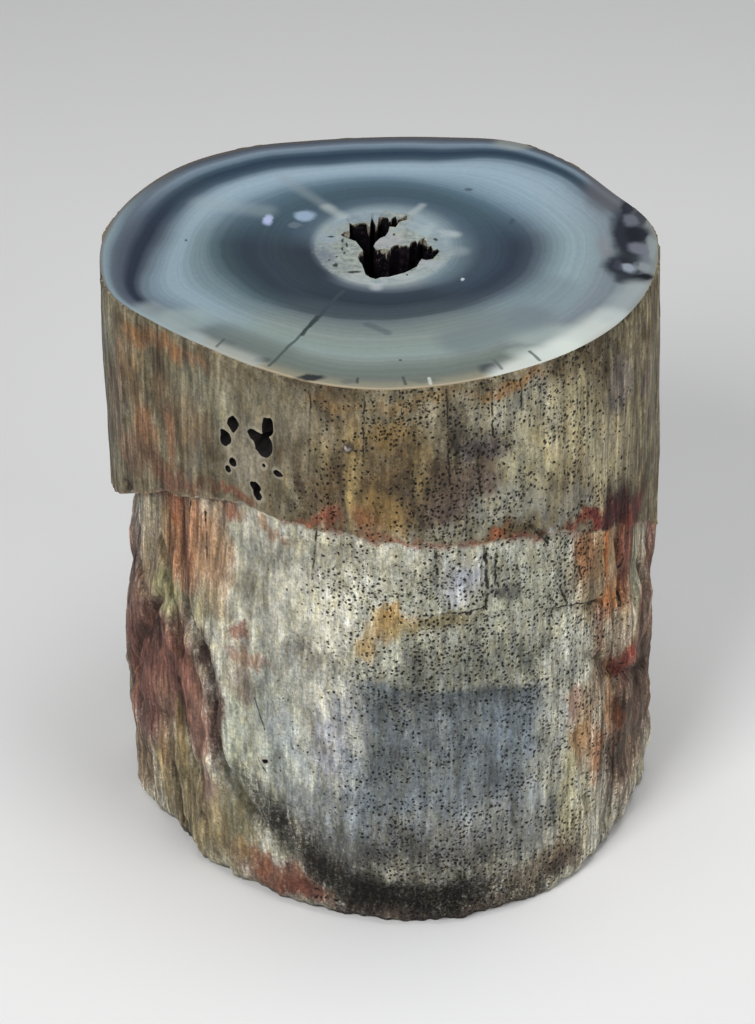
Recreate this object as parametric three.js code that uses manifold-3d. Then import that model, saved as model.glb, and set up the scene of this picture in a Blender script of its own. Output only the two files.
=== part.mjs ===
// Petrified wood: an upright length of fossilised log. Its top is sawn across and polished,
// its sides are the weathered outside of the log, and a cavity lined with crystals opens in
// the top where the heart of the wood was lost before it turned to stone. It is one piece of
// stone. A fracture runs round the log, high at the front and low at the back, and the stone
// above it stands proud.
//
// Millimetres, +Z up along the log. The origin is at the bottom centre of the log's box.

import * as THREE from 'three';
import { mergeVertices } from 'three/addons/utils/BufferGeometryUtils.js';
import Module from 'manifold-3d';

// Driving dimensions.
const HEIGHT = 210;
const SEGMENTS = 72;

// Radius of the log every 15 degrees, anticlockwise from +X, on the sawn top and at the foot.
const TOP_RADII = [
  90, 92.5, 90.5, 93, 94.5, 88.5, 85.5, 86, 90, 92.5, 92, 91,
  89.5, 87, 80, 76, 76, 78, 79.5, 79.5, 80, 82, 84.5, 87,
];
const FOOT_RADII = [
  96, 95, 94, 94, 93, 89, 86.5, 87, 89, 91.5, 91.5, 89,
  86.5, 82, 78.5, 79, 78.5, 80, 83, 86, 88, 90, 90.5, 93,
];
const BULGE = 1.5;
const FOOT_BEVEL = 2.5;

// The fracture: its height on the side of the log every 15 degrees, anticlockwise from +X,
// and how far the stone below it is cut back, at its least and at its deepest.
const FRACTURE_HEIGHTS = [
  108, 100, 93, 88, 84, 82, 82, 84, 88, 95, 103, 112,
  122, 134, 147, 154, 159, 158, 157, 154, 151, 145, 136, 123,
];
const STEP_LEAST = 1.2;
const STEP_DEEPEST = 8;
const STEP_DIRECTION = THREE.MathUtils.degToRad(178);
const STEP_SHARPNESS = 6;
const STEP_FADE = 0.55;

// The cavity: the place it is measured from, its radius every 15 degrees at the mouth,
// how deep it goes, the round shape that it settles to, and where its bottom lies.
const MOUTH_CENTRE = new THREE.Vector2(-3, 2);
const MOUTH_RADII = [
  23, 23, 21, 8, 6.5, 20, 23, 21, 15, 9, 5, 4,
  3.5, 5, 6.5, 8, 11, 15, 16, 15, 14.5, 14.5, 15, 19,
];
const CAVITY_DEPTH = 58;
const CAVITY_WAIST = 9;
const CAVITY_FLOOR_CENTRE = new THREE.Vector2(3, 1);
const CUT_PAST_MOUTH = 2;

// Heights of the rings of vertices: 0 is the foot, 1 the fracture and 2 the sawn top.
const RING_LEVELS = [
  0.12, 0.25, 0.38, 0.5, 0.62, 0.73, 0.83, 0.91, 0.97, 1, 1.15, 1.35, 1.55, 1.75, 1.9, 2,
];
// Depths of the cavity's rings as a share of its depth, with the wall's width there.
const CAVITY_RINGS = [
  [0, 1], [0.12, 0.97], [0.3, 0.9], [0.5, 0.8], [0.7, 0.66], [0.88, 0.45],
];

const wasm = await Module();
wasm.setup();

// A closed smooth curve through sizes spaced evenly round the axis.
function closedCurve(sizes) {
  const points = sizes.map((size) => new THREE.Vector3(size, 0, 0));
  const curve = new THREE.CatmullRomCurve3(points, true, 'catmullrom', 0.5);
  return (angle) => curve.getPoint(THREE.MathUtils.euclideanModulo(angle / (2 * Math.PI), 1)).x;
}

const topRadius = closedCurve(TOP_RADII);
const footRadius = closedCurve(FOOT_RADII);
const fractureHeight = closedCurve(FRACTURE_HEIGHTS);
const mouthRadius = closedCurve(MOUTH_RADII);

// How far the stone just under the fracture is cut back.
function stepDepth(angle) {
  const facing = (1 + Math.cos(angle - STEP_DIRECTION)) / 2;
  return STEP_LEAST + (STEP_DEEPEST - STEP_LEAST) * facing ** STEP_SHARPNESS;
}

// Height of a ring level in one direction from the axis.
function heightAt(level, angle) {
  const fracture = fractureHeight(angle);
  return level <= 1 ? level * fracture : THREE.MathUtils.lerp(fracture, HEIGHT, level - 1);
}

// Radius of the log's side at a ring level.
function sideRadius(level, angle) {
  const share = heightAt(level, angle) / HEIGHT;
  const trunk = THREE.MathUtils.lerp(footRadius(angle), topRadius(angle), share);
  const bulge = BULGE * Math.sin(Math.PI * share);
  const below = level < 1 ? THREE.MathUtils.smoothstep(level, 1 - STEP_FADE, 1) : 0;
  return trunk + bulge - below * stepDepth(angle);
}

// A lathed body of unit radius, with +Z up, whose vertices a function then moves.
function lathedBody(profile, place) {
  const points = profile.map(([radius, level]) => new THREE.Vector2(radius, level));
  const geometry = new THREE.LatheGeometry(points, SEGMENTS);
  geometry.rotateX(Math.PI / 2);
  const positions = geometry.attributes.position;
  for (let i = 0; i < positions.count; i += 1) {
    const x = positions.getX(i);
    const y = positions.getY(i);
    const moved = place(Math.hypot(x, y), Math.atan2(y, x), positions.getZ(i));
    positions.setXYZ(i, moved.x, moved.y, moved.z);
  }
  return geometry;
}

function logBody() {
  const profile = [[0, 0], [1, 0]];
  RING_LEVELS.forEach((level) => profile.push([1, level]));
  profile.push([0, 2]);
  return lathedBody(profile, (share, angle, level) => {
    const inset = level === 0 ? FOOT_BEVEL : 0;
    const radius = share * (sideRadius(level, angle) - inset);
    const height = share > 0 ? heightAt(level, angle) : (level * HEIGHT) / 2;
    return new THREE.Vector3(radius * Math.cos(angle), radius * Math.sin(angle), height);
  });
}

function cavityBody() {
  const profile = [[0, -1]];
  [...CAVITY_RINGS].reverse().forEach(([depth, width]) => profile.push([width, -depth]));
  profile.push([0, 0]);
  return lathedBody(profile, (width, angle, level) => {
    const depth = -level;
    const radius = width * THREE.MathUtils.lerp(mouthRadius(angle), CAVITY_WAIST, depth);
    const centre = MOUTH_CENTRE.clone().lerp(CAVITY_FLOOR_CENTRE, depth);
    const height = depth > 0 ? HEIGHT - depth * CAVITY_DEPTH : HEIGHT + CUT_PAST_MOUTH;
    return new THREE.Vector3(
      centre.x + radius * Math.cos(angle),
      centre.y + radius * Math.sin(angle),
      height,
    );
  });
}

function toSolid(geometry) {
  geometry.deleteAttribute('normal');
  geometry.deleteAttribute('uv');
  const merged = mergeVertices(geometry);
  const vertProperties = new Float32Array(merged.attributes.position.array);
  const triVerts = new Uint32Array(merged.index.array);
  return new wasm.Manifold(new wasm.Mesh({ numProp: 3, vertProperties, triVerts }));
}

function toGeometry(solid) {
  const mesh = solid.getMesh();
  const geometry = new THREE.BufferGeometry();
  geometry.setAttribute('position', new THREE.BufferAttribute(mesh.vertProperties, 3));
  geometry.setIndex(new THREE.BufferAttribute(mesh.triVerts, 1));
  geometry.computeVertexNormals();
  return geometry;
}

// Puts the origin at the bottom centre of the box.
function standOnOrigin(geometry) {
  geometry.computeBoundingBox();
  const centre = geometry.boundingBox.getCenter(new THREE.Vector3());
  return geometry.translate(-centre.x, -centre.y, -geometry.boundingBox.min.z);
}

const petrifiedWood = new THREE.MeshStandardMaterial({
  color: 0x6f6a62,
  roughness: 0.55,
  metalness: 0,
});

const solidLog = toSolid(logBody()).subtract(toSolid(cavityBody()));
const log = new THREE.Mesh(standOnOrigin(toGeometry(solidLog)), petrifiedWood);
log.name = 'petrified_log';

const part = new THREE.Group();
part.add(log);

export default part;
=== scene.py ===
# %% [markdown]
# # A petrified log
# This lesson makes one length of fossilised wood. Its top is sawn across and polished, so it
# shows the agate that took the place of the wood, ring inside ring, round a cavity lined with
# small crystals. Its sides are the weathered outside of the log: grey, cream and rust stone
# that still has the grain of the wood, dotted with pits and a few insect borings.
# The log formed as one piece, so it is made here as one closed mesh.

# %% Load the fixed frame
import math

import bmesh
import bpy
import numpy as np
from mathutils import Matrix, Vector, noise


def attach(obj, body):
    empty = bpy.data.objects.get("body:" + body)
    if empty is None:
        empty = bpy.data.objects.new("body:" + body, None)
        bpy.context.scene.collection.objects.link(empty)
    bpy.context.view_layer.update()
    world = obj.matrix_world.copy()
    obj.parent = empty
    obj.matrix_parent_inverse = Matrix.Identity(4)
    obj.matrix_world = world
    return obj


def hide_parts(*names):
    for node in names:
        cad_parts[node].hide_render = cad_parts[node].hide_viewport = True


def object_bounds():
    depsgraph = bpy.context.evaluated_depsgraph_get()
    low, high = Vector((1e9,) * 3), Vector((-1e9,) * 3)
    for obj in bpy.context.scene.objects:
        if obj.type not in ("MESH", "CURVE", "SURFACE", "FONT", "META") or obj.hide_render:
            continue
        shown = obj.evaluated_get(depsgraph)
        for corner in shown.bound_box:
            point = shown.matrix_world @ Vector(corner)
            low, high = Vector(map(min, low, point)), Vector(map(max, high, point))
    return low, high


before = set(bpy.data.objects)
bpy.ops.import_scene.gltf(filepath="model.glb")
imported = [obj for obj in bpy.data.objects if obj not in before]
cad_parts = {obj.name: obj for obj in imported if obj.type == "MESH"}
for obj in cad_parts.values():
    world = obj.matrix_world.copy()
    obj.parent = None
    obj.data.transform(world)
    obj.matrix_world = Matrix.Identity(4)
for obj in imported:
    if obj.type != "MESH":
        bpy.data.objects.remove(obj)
cad_low, cad_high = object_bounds()
print("frame box, m:", [round(v, 4) for v in (*cad_low, *cad_high)])

# %% [markdown]
# ## Sizes
# Everything is worked out in millimetres round the log's own axis, and a last step puts it
# into the frame in metres. The outlines of the top, of the foot and of the fracture that
# runs round the log are each given by a size every 15 degrees, anticlockwise from +X.
# A smooth closed curve joins those sizes. Angles on the side are counted from the front
# of the log, so that 0 is the front, 90 the right side and -90 the left side.

# %% Sizes of the log
MM = 0.001
HEIGHT = cad_high.z / MM
# Where the log's own axis stands, in mm from the middle of the frame.
AXIS = (-2.9, -2.0)
TOP_RADII = [
    90, 92.5, 90.5, 93, 94.5, 88.5, 85.5, 86, 90, 92.5, 92, 91,
    89.5, 87, 80, 76, 76, 78, 79.5, 79.5, 80, 82, 84.5, 87,
]
FOOT_RADII = [
    96, 95, 94, 94, 93, 89, 86.5, 87, 89, 91.5, 91.5, 89,
    86.5, 82, 78.5, 79, 78.5, 80, 83, 86, 88, 90, 90.5, 93,
]
FRACTURE_HEIGHTS = [
    108, 100, 93, 88, 84, 82, 82, 84, 88, 95, 103, 112,
    122, 134, 147, 154, 159, 158, 157, 154, 151, 145, 136, 123,
]
# How far the side swells at half its height, and how far a degree reaches round it, in mm.
BULGE = 1.5
MM_PER_DEGREE = 1.5
# Points closer together than this, in mm, are welded into one.
WELD = 0.001


def closed_curve(sizes):
    """A smooth curve through sizes spaced evenly round the log, as a function of the angle."""
    sizes = np.asarray(sizes, float)

    def at(angle):
        place = np.mod(angle / (2 * np.pi), 1) * len(sizes)
        start = np.floor(place).astype(int)
        t = place - start
        a, b, c, d = (sizes[(start + k) % len(sizes)] for k in (-1, 0, 1, 2))
        return b + t / 2 * (c - a + t * (2 * a - 5 * b + 4 * c - d + t * (3 * (b - c) + d - a)))

    return at


def ramp(value, start, end):
    """Rises smoothly from 0 at start to 1 at end."""
    t = np.clip((value - start) / (end - start), 0, 1)
    return t * t * (3 - 2 * t)


def rough(points, size, seed=0.0, octaves=3):
    """Fractal noise round 0, whose lumps have the given size along X, Y and Z in mm."""
    scaled = np.asarray(points) / np.asarray(size) + seed
    return np.array([noise.fractal(p, 1.0, 2.0, octaves) for p in scaled])


top_radius = closed_curve(TOP_RADII)
foot_radius = closed_curve(FOOT_RADII)
fracture_height = closed_curve(FRACTURE_HEIGHTS)
print("log height, mm:", round(HEIGHT, 1))

# %% [markdown]
# ## One sheet rolled into a log
# The whole outside is one grid. Its columns go round the log. Its rows start at the middle
# of the foot, climb the side, and cross the polished top to a point over the cavity, which
# is cut out later. An outline could be spun round instead, but on a grid every vertex knows
# its row and its column, so each region can be shaped by its own rule, and rows can be put
# close together exactly where the fracture and the rim need them.

# %% Rows of the sheet
COLUMNS = 528
# Shares of the way out on the foot, levels on the side (0 at the foot, 1 at the fracture, 2 at
# the rim) and rings on the top (9 at the rim, 0 in the middle).
FOOT_SHARES = [0, 0.3, 0.6, 0.8, 0.92]
SIDE_LEVELS = np.concatenate([
    [0, 0.008, 0.02, 0.036],
    np.linspace(0.052, 0.93, 60),
    [0.945, 0.957, 0.967, 0.976, 0.984, 0.99, 0.995, 0.998, 1.0, 1.003, 1.008, 1.016, 1.03],
    np.linspace(1.06, 1.95, 32),
    [1.97, 1.983, 1.992, 1.997],
])
TOP_RINGS = [
    9, 8.85, 8.6, 8.3, 8, 7.5, 7, 6.5, 6, 5.5, 5, 4.5, 4, 3.5, 3, 2.5, 2,
    1.75, 1.5, 1.25, 1, 0.8, 0.6, 0.4, 0.2, 0,
]
rows = (
    [("foot", share) for share in FOOT_SHARES]
    + [("side", level) for level in SIDE_LEVELS]
    + [("top", ring) for ring in TOP_RINGS]
)
angles = np.arange(COLUMNS) * 2 * np.pi / COLUMNS
ways = np.stack([np.cos(angles), np.sin(angles)], axis=1)
print("rows:", len(rows), "faces:", (len(rows) - 1) * COLUMNS)

# %% [markdown]
# ## Rings on the polished top
# The bands of the agate aren't circles. Near the cavity they follow it, further out they are
# an oval, and at the outside they follow the bark. Curves say where one kind of band gives
# way to the next, and a number on each vertex, its ring, counts from 0 in the middle to 9 at
# the rim. The material reads that number, so its bands follow these curves.

# %% Curves that bound the bands
CAVITY_MIDDLE = np.array([-2.5, 3.0])
# Middle and half widths in mm of the bands that are ovals.
OVALS = {1: ((1, 8), (21, 24)), 2: ((3, 9), (25.5, 29)), 4: ((-1, 8.5), (53, 47))}
# Bands that follow the bark: share of the way to the rim at the back on the left, and how much
# further out they lie at the front and on the right.
BARK_BANDS = {6: (0.785, 0.12), 7: (0.89, 0.06), 8: (0.955, 0.025), 9: (1, 0)}
RIM_INSET = 0.35


def oval_curve(centre, half_widths):
    """Points of an oval along the rays that leave the middle of the cavity."""
    start = (CAVITY_MIDDLE - centre) / half_widths
    way = ways / half_widths
    squared = np.sum(way**2, axis=1)
    along = way @ start
    reach = (np.sqrt(along**2 - squared * (start @ start - 1)) - along) / squared
    return CAVITY_MIDDLE + ways * reach[:, None]


def band_curve(index):
    """Points of one band's inner edge, one for each column."""
    front_share = ramp(-ways[:, 1] + 0.55 * np.abs(ways[:, 0]), 0.35, 0.95)
    right_share = ramp(ways[:, 0], 0.2, 0.8)
    outer = np.maximum(front_share, right_share)
    rim = top_radius(angles) - RIM_INSET
    if index == 0:
        return CAVITY_MIDDLE + 0 * ways
    if index in OVALS:
        return oval_curve(*np.array(OVALS[index], float))
    if index == 3:
        return (band_curve(2) + band_curve(4)) / 2
    if index == 5:
        return (band_curve(4) + band_curve(6)) / 2
    least, spread = BARK_BANDS[index]
    return ways * (rim * (least + spread * outer))[:, None]


LAST_RING = max(BARK_BANDS)
band_curves = [band_curve(index) for index in range(LAST_RING + 1)]


def top_points(ring):
    """Points at a ring number, part of the way from one band curve to the next."""
    inner = min(int(ring), LAST_RING - 1)
    share = ring - inner
    return (1 - share) * band_curves[inner] + share * band_curves[inner + 1]


print("bands:", LAST_RING, "reach of the last, mm:", round(float(np.abs(band_curves[-1]).max()), 1))

# %% [markdown]
# ## Relief of the side
# The side starts from the two outlines, then gets the marks that time left on it. The stone
# below the fracture is stepped back, most of all on the left. The grain of the wood is left
# as fine upright ridges. The lower left and the far right are lumpy where the outer wood
# crumbled. Grooves are cracks and channels, each drawn as a short path of angle and height.
# A spall under the front edge is a shallow scoop.

# %% Marks on the side
# How far the stone below the fracture is set back: least and most in mm, the angle where it is
# most, how sharply it falls off round the log, how far down it fades, and how much of it
# is painted as shade in the hollows.
STEP_LEAST = 0.7
STEP_DEEPEST = 8.0
STEP_DIRECTION = -88.0
STEP_FALL = 6
STEP_FADE = 0.55
STEP_SHADED_SHARE = 0.15
# The fracture's edge wanders up and down by so many mm, in lumps of a size, at a radius.
EDGE_WANDER = 1.6
EDGE_LUMP = 9
EDGE_RADIUS = 80
# Sizes along X, Y and Z and height of the ridges of the grain, in mm.
GRAIN = [((1.8, 1.8, 20), 0.3), ((5, 5, 45), 0.6), ((17, 17, 80), 0.9)]
# Sizes, noise seed, octaves and height of the lumps on the crumbled stretches.
LUMPS = [((12, 12, 26), 11.3, 4, 2.4), ((4, 4, 12), 13.9, 2, 0.9)]
LUMPS_FADE = (9, 14)
PATH_WANDER = 2.2
# Mean depth, spread and height in mm of the chips round the foot, then depth and height of
# those under the rim.
FOOT_CHIPS = (2.2, 1.5, 6)
RIM_CHIPS = (1.5, 3)
# Angle and height of each point, then width and depth in mm.
GROOVES = [
    ([(-14, 159), (-15, 148), (-15, 138)], 1.4, 0.8),
    ([(24, 148), (24, 128)], 1.6, 1.2),
    ([(26.5, 147), (27, 130)], 1.3, 0.8),
    ([(35, 153), (38, 148), (40, 145)], 2.2, 1.8),
    ([(41, 118), (47, 116), (52, 112), (57, 109)], 1.8, 1.3),
    ([(-55, 106), (-50, 98), (-46, 88), (-44, 76), (-43, 62), (-40, 44), (-34, 34)], 4.0, 3.0),
    ([(-72, 140), (-68, 126), (-64, 112), (-60, 98), (-57, 84)], 4.0, 2.2),
    ([(-66, 100), (-70, 90), (-76, 74), (-80, 56)], 5.0, 2.8),
    ([(-84, 120), (-80, 104), (-74, 96)], 5.0, 2.2),
    ([(-58, 72), (-56, 56), (-52, 40)], 2.4, 1.6),
    ([(-64, 52), (-62, 30), (-61, 8)], 3.0, 1.8),
    ([(-72, 36), (-70, 20), (-70, 8)], 3.0, 1.4),
    ([(-50, 24), (-46, 12)], 2.4, 1.0),
    ([(-38, 46), (-30, 32), (-20, 23)], 4.0, 1.3),
    ([(63, 130), (65, 112), (64, 96)], 2.2, 1.8),
    ([(57, 130), (58, 116), (56, 104)], 1.6, 0.9),
    ([(52, 92), (60, 78), (72, 66), (86, 54)], 4.0, 2.2),
    ([(48, 62), (51, 44), (54, 20)], 4.0, 1.5),
    ([(62, 70), (64, 48), (63, 24)], 3.0, 1.4),
    ([(74, 108), (80, 88), (83, 60), (84, 30)], 3.0, 2.0),
    ([(-100, 116), (-108, 84), (-112, 52)], 5.0, 2.4),
    ([(118, 92), (124, 60), (122, 24)], 3.5, 2.0),
    ([(-140, 150), (-146, 104), (-143, 66)], 2.6, 1.6),
    ([(158, 190), (162, 140), (160, 100)], 2.4, 1.3),
]
# Middle angle and height, half width in degrees, half height in mm, depth in mm.
SCOOPS = [(4, 11, 24, 7, 2.2), (-86, 47, 10, 5, 1.6), (102, 36, 16, 18, 2.2), (-150, 40, 20, 16, 2.4)]
# Middle angle, half width in degrees and top height of the crumbled, lumpy stretches.
CRUMBLED = [(-64, 24, 108), (-110, 30, 120), (76, 22, 122), (125, 24, 84), (-160, 22, 70)]
print("grooves:", len(GROOVES), "scoops:", len(SCOOPS), "crumbled stretches:", len(CRUMBLED))

# %% [markdown]
# ### From marks to places
# A sculpted side would look the same, but nobody could say afterwards where a crack is or how
# deep. So each mark only adds to one number, the relief: how far the surface lies outside or
# inside the plain outline. All the marks are summed, and the sum moves each point straight out.

# %% Relief of the side
def turn_from(centre, degrees):
    """Angle from centre, the short way round the log, in degrees."""
    return np.mod(degrees - centre + 180, 360) - 180


def groove_depth(degrees, heights, path, width, depth):
    """Depth of one groove, deepest on its path and fading over its width."""
    nearest = np.full(len(degrees), np.inf)
    for (a0, z0), (a1, z1) in zip(path, path[1:]):
        side = np.array([turn_from(a0, a1) * MM_PER_DEGREE, z1 - z0])
        across = turn_from(a0, degrees) * MM_PER_DEGREE
        up = heights - z0
        share = np.clip((across * side[0] + up * side[1]) / (side @ side), 0, 1)
        nearest = np.minimum(nearest, np.hypot(across - share * side[0], up - share * side[1]))
    return depth * np.exp(-((nearest / (width / 2)) ** 2))


def side_points(levels, columns):
    """Places of the side's vertices, from each one's level and column."""
    around = angles[columns]
    fracture = fracture_height(around)
    edge_places = np.c_[ways * EDGE_RADIUS, np.zeros(COLUMNS)]
    rough_edge = rough(edge_places, (EDGE_LUMP, EDGE_LUMP, 1), seed=7.7)[columns]
    fracture = fracture + EDGE_WANDER * rough_edge
    heights = np.where(levels <= 1, levels * fracture, fracture + (levels - 1) * (HEIGHT - fracture))
    share = heights / HEIGHT
    radii = foot_radius(around) * (1 - share) + top_radius(around) * share
    radii = radii + BULGE * np.sin(np.pi * share)
    degrees = turn_from(0, np.degrees(around) + 90)
    points = np.c_[ways[columns] * radii[:, None], heights]

    facing = (1 + np.cos(np.radians(turn_from(STEP_DIRECTION, degrees)))) / 2
    step = (STEP_LEAST + (STEP_DEEPEST - STEP_LEAST) * facing**STEP_FALL) * (1 + 0.3 * rough_edge)
    below = ramp(levels, 1 - STEP_FADE, 0.99) * (1 - ramp(levels, 0.9955, 1.004))
    relief = -step * below
    for size, amount in GRAIN:
        relief += amount * rough(points, size, seed=size[0])
    lumps = sum(height * rough(points, size, seed, octaves) for size, seed, octaves, height in LUMPS)
    for centre, half_width, upper in CRUMBLED:
        share_in = ramp(half_width - np.abs(turn_from(centre, degrees)), 0, LUMPS_FADE[0])
        relief += lumps * share_in * ramp(upper - heights, 0, LUMPS_FADE[1])
    wander = PATH_WANDER * rough(points, (14, 14, 14), seed=21.5, octaves=2)
    for path, width, depth in GROOVES:
        relief -= groove_depth(degrees + wander / MM_PER_DEGREE, heights, path, width, depth)
    for centre, middle, half_width, half_height, depth in SCOOPS:
        away = np.hypot(turn_from(centre, degrees) / half_width, (heights - middle) / half_height)
        relief -= depth * ramp(1.15 - away, 0, 0.6) * (1 + 0.4 * rough_edge)

    mean, spread, tall = FOOT_CHIPS
    foot_chips = mean + spread * rough(points, (8, 8, 30), seed=31.0)
    relief -= foot_chips * (1 - ramp(heights, 0, tall)) ** 2
    deep, tall = RIM_CHIPS
    rim_chips = np.maximum(rough(points, (4, 4, 9), seed=41.0) - 0.15, 0)
    relief -= deep * rim_chips * ramp(heights, HEIGHT - tall, HEIGHT)
    # Painted shade: how deep a point lies in the relief's hollows, which the side's material paints
    # darker, and lighter on the ridges.
    hollow_shade = step * below * STEP_SHADED_SHARE - relief - step * below
    return np.c_[ways[columns] * (radii + relief)[:, None], heights], heights - fracture, hollow_shade


edge, _, _ = side_points(np.ones(COLUMNS), np.arange(COLUMNS))
print("edge of the fracture, mm up:", round(edge[:, 2].min()), "to", round(edge[:, 2].max()))

# %% [markdown]
# ## Making the mesh
# The grid operator makes the sheet. Each vertex then goes to the place that its row and
# column give. Three numbers stay on the vertices for the materials: the ring on the top, the
# height above the fracture on the side, and how deep a point lies in the side's hollows, which
# the side's material turns into painted shade.

# %% Roll the sheet up
REGIONS = ["side", "top", "foot"]


def rolled_sheet():
    """The log's whole surface as one mesh, in metres and in the frame."""
    bm = bmesh.new()
    bmesh.ops.create_grid(bm, x_segments=COLUMNS, y_segments=len(rows) - 1, size=1.0)
    mesh = bpy.data.meshes.new("petrified_log_stone")
    bm.to_mesh(mesh)
    bm.free()
    flat = np.empty(len(mesh.vertices) * 3)
    mesh.vertices.foreach_get("co", flat)
    flat = flat.reshape(-1, 3)
    column = np.rint((flat[:, 0] + 1) / 2 * COLUMNS).astype(int) % COLUMNS
    row = np.rint((flat[:, 1] + 1) / 2 * (len(rows) - 1)).astype(int)
    region = np.array([REGIONS.index(name) for name, _ in rows])[row]
    amount = np.array([value for _, value in rows], float)[row]

    places = np.zeros((len(row), 3))
    numbers = {name: np.zeros(len(row)) for name in ("ring", "above_fracture", "hollow_shade")}
    on_side = region == REGIONS.index("side")
    made = side_points(amount[on_side], column[on_side])
    places[on_side], numbers["above_fracture"][on_side], numbers["hollow_shade"][on_side] = made
    foot_ring = places[row == len(FOOT_SHARES)][:COLUMNS]
    ring_columns = column[row == len(FOOT_SHARES)][:COLUMNS]
    foot_edge = np.zeros((COLUMNS, 3))
    foot_edge[ring_columns] = foot_ring
    on_foot = region == REGIONS.index("foot")
    places[on_foot] = foot_edge[column[on_foot]] * amount[on_foot, None]
    for i, (name, value) in enumerate(rows):
        if name == "top":
            here = row == i
            places[here, :2] = top_points(value)[column[here]]
            places[here, 2] = HEIGHT
            numbers["ring"][here] = value

    places[:, :2] += AXIS
    mesh.vertices.foreach_set("co", (places * MM).ravel())
    for name, values in numbers.items():
        mesh.attributes.new(name, "FLOAT", "POINT").data.foreach_set("value", values)
    first_row = np.array([row[list(face.vertices)].min() for face in mesh.polygons])
    starts = np.array([REGIONS.index(name) for name, _ in rows])
    mesh.polygons.foreach_set("material_index", starts[first_row])
    return mesh


log_mesh = rolled_sheet()
print("points of the sheet:", len(log_mesh.vertices))

# %% [markdown]
# ### Welding it closed
# The real log is solid stone, so its mesh has no gap and all its faces look outwards. The
# first and the last column lie on the same line up the log, and the first and the last row
# are each a single point. Welding makes those points one, and the volume tells which way the
# faces look: it is negative when they look inwards.

# %% Weld the sheet
def weld(mesh):
    """Joins the sheet's meeting edges, turns its faces outwards and says what it is."""
    bm = bmesh.new()
    bm.from_mesh(mesh)
    bmesh.ops.remove_doubles(bm, verts=bm.verts, dist=WELD * MM)
    bmesh.ops.recalc_face_normals(bm, faces=bm.faces)
    if bm.calc_volume(signed=True) < 0:
        bmesh.ops.reverse_faces(bm, faces=bm.faces)
    open_edges = sum(1 for edge in bm.edges if not edge.is_manifold)
    print("faces:", len(bm.faces), "open edges:", open_edges, "litres:", round(bm.calc_volume() * 1000, 2))
    bm.to_mesh(mesh)
    bm.free()


weld(log_mesh)
for region in REGIONS:
    log_mesh.materials.append(bpy.data.materials.new(region))
log = bpy.data.objects.new("petrified_log_stone", log_mesh)
bpy.context.scene.collection.objects.link(log)

# %% [markdown]
# ## Cutting holes
# A hole that was only dented into the grid would be as coarse as the grid. A cut one keeps a
# crisp edge, so the holes are made as separate closed meshes, and the Boolean modifier takes
# them out of the log. A cutter's own material passes to the walls that it leaves, so they
# can be finished apart from the rest.

# %% Take a cutter out of the log
def cut_out(bm, name, voxel=None):
    """Takes the shape in bm, given in mm, out of the log. A voxel size joins loose shapes first."""
    bmesh.ops.scale(bm, verts=bm.verts, vec=(MM, MM, MM))
    bmesh.ops.recalc_face_normals(bm, faces=bm.faces)
    mesh = bpy.data.meshes.new(name)
    bm.to_mesh(mesh)
    bm.free()
    mesh.materials.append(bpy.data.materials.new(name))
    cutter = bpy.data.objects.new(name, mesh)
    bpy.context.scene.collection.objects.link(cutter)
    if voxel:
        union = cutter.modifiers.new("join", "REMESH")
        union.mode = "VOXEL"
        union.voxel_size = voxel * MM
    cut = log.modifiers.new(name, "BOOLEAN")
    cut.object = cutter
    cut.operation = "DIFFERENCE"
    cut.solver = "MANIFOLD"
    cut.material_mode = "TRANSFER"
    depsgraph = bpy.context.evaluated_depsgraph_get()
    log.data = bpy.data.meshes.new_from_object(log.evaluated_get(depsgraph))
    log.modifiers.clear()
    bpy.data.objects.remove(cutter)
    log.data.calc_loop_triangles()
    print("cut", name + ", triangles now:", len(log.data.loop_triangles))


# %% [markdown]
# ## The cavity
# Seen from above, the cavity is a ragged hole with a lobe running back and a lobe running
# right. A tongue of pale crystal comes in between them, and teeth of crystal hang at the back
# edge. No curve gives such a shape, so its corners are listed one by one, in mm from the log's
# axis, anticlockwise from the tip of the right lobe.

# %% Outline of the cavity
MOUTH_OUTLINE = [
    (20, 5), (19.2, 6.6), (17.8, 5.6), (17.2, 8.6), (16, 8), (15.6, 12), (14.9, 12.6), (15.3, 14.2),
    (13.4, 12.6), (12.8, 10), (12.2, 12), (10.8, 11.4), (10, 7.6), (9.2, 9), (8, 8.3), (6.8, 9.6),
    (5.4, 9), (4.4, 8), (3.8, 5.6), (2.2, 7), (0.6, 6.2), (-0.6, 5.8), (-1.4, 8.4), (-0.8, 10.8),
    (0.6, 13.6), (2.4, 15), (3.4, 18), (3.8, 21.4), (5.8, 21), (7, 24.6), (9.6, 26.2), (9.5, 29.2),
    (8.4, 28), (7.2, 26.4), (6.2, 26), (5.8, 28.6), (4.6, 27.2), (3.9, 24.4), (3.2, 27.6), (0.3, 28),
    (0, 24), (-0.4, 20.8), (-1.2, 24), (-2, 27.8), (-2.4, 25), (-2.7, 20.8), (-3.4, 22.6), (-4.4, 24.2),
    (-6.6, 23.8), (-8.2, 22.6), (-9.4, 24), (-9.3, 18.4), (-11, 17.8), (-12.2, 15.8), (-10.8, 14.2),
    (-9, 13), (-7.2, 11.6), (-6.2, 9), (-4.9, 5.6), (-5.9, 4), (-6.4, 1), (-6, -1.4), (-5.1, -3.4),
    (-4.6, -6.4), (-4, -9.8), (-2.6, -11.8), (-0.8, -13), (0.8, -11.9), (3.4, -11.6), (6, -10.2),
    (8.6, -8.8), (10.6, -6.8), (12.4, -5), (13.2, -2), (14, 0), (15.4, -0.8), (17.6, 0), (18.6, 2.2),
]
print("corners of the mouth:", len(MOUTH_OUTLINE))

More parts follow.
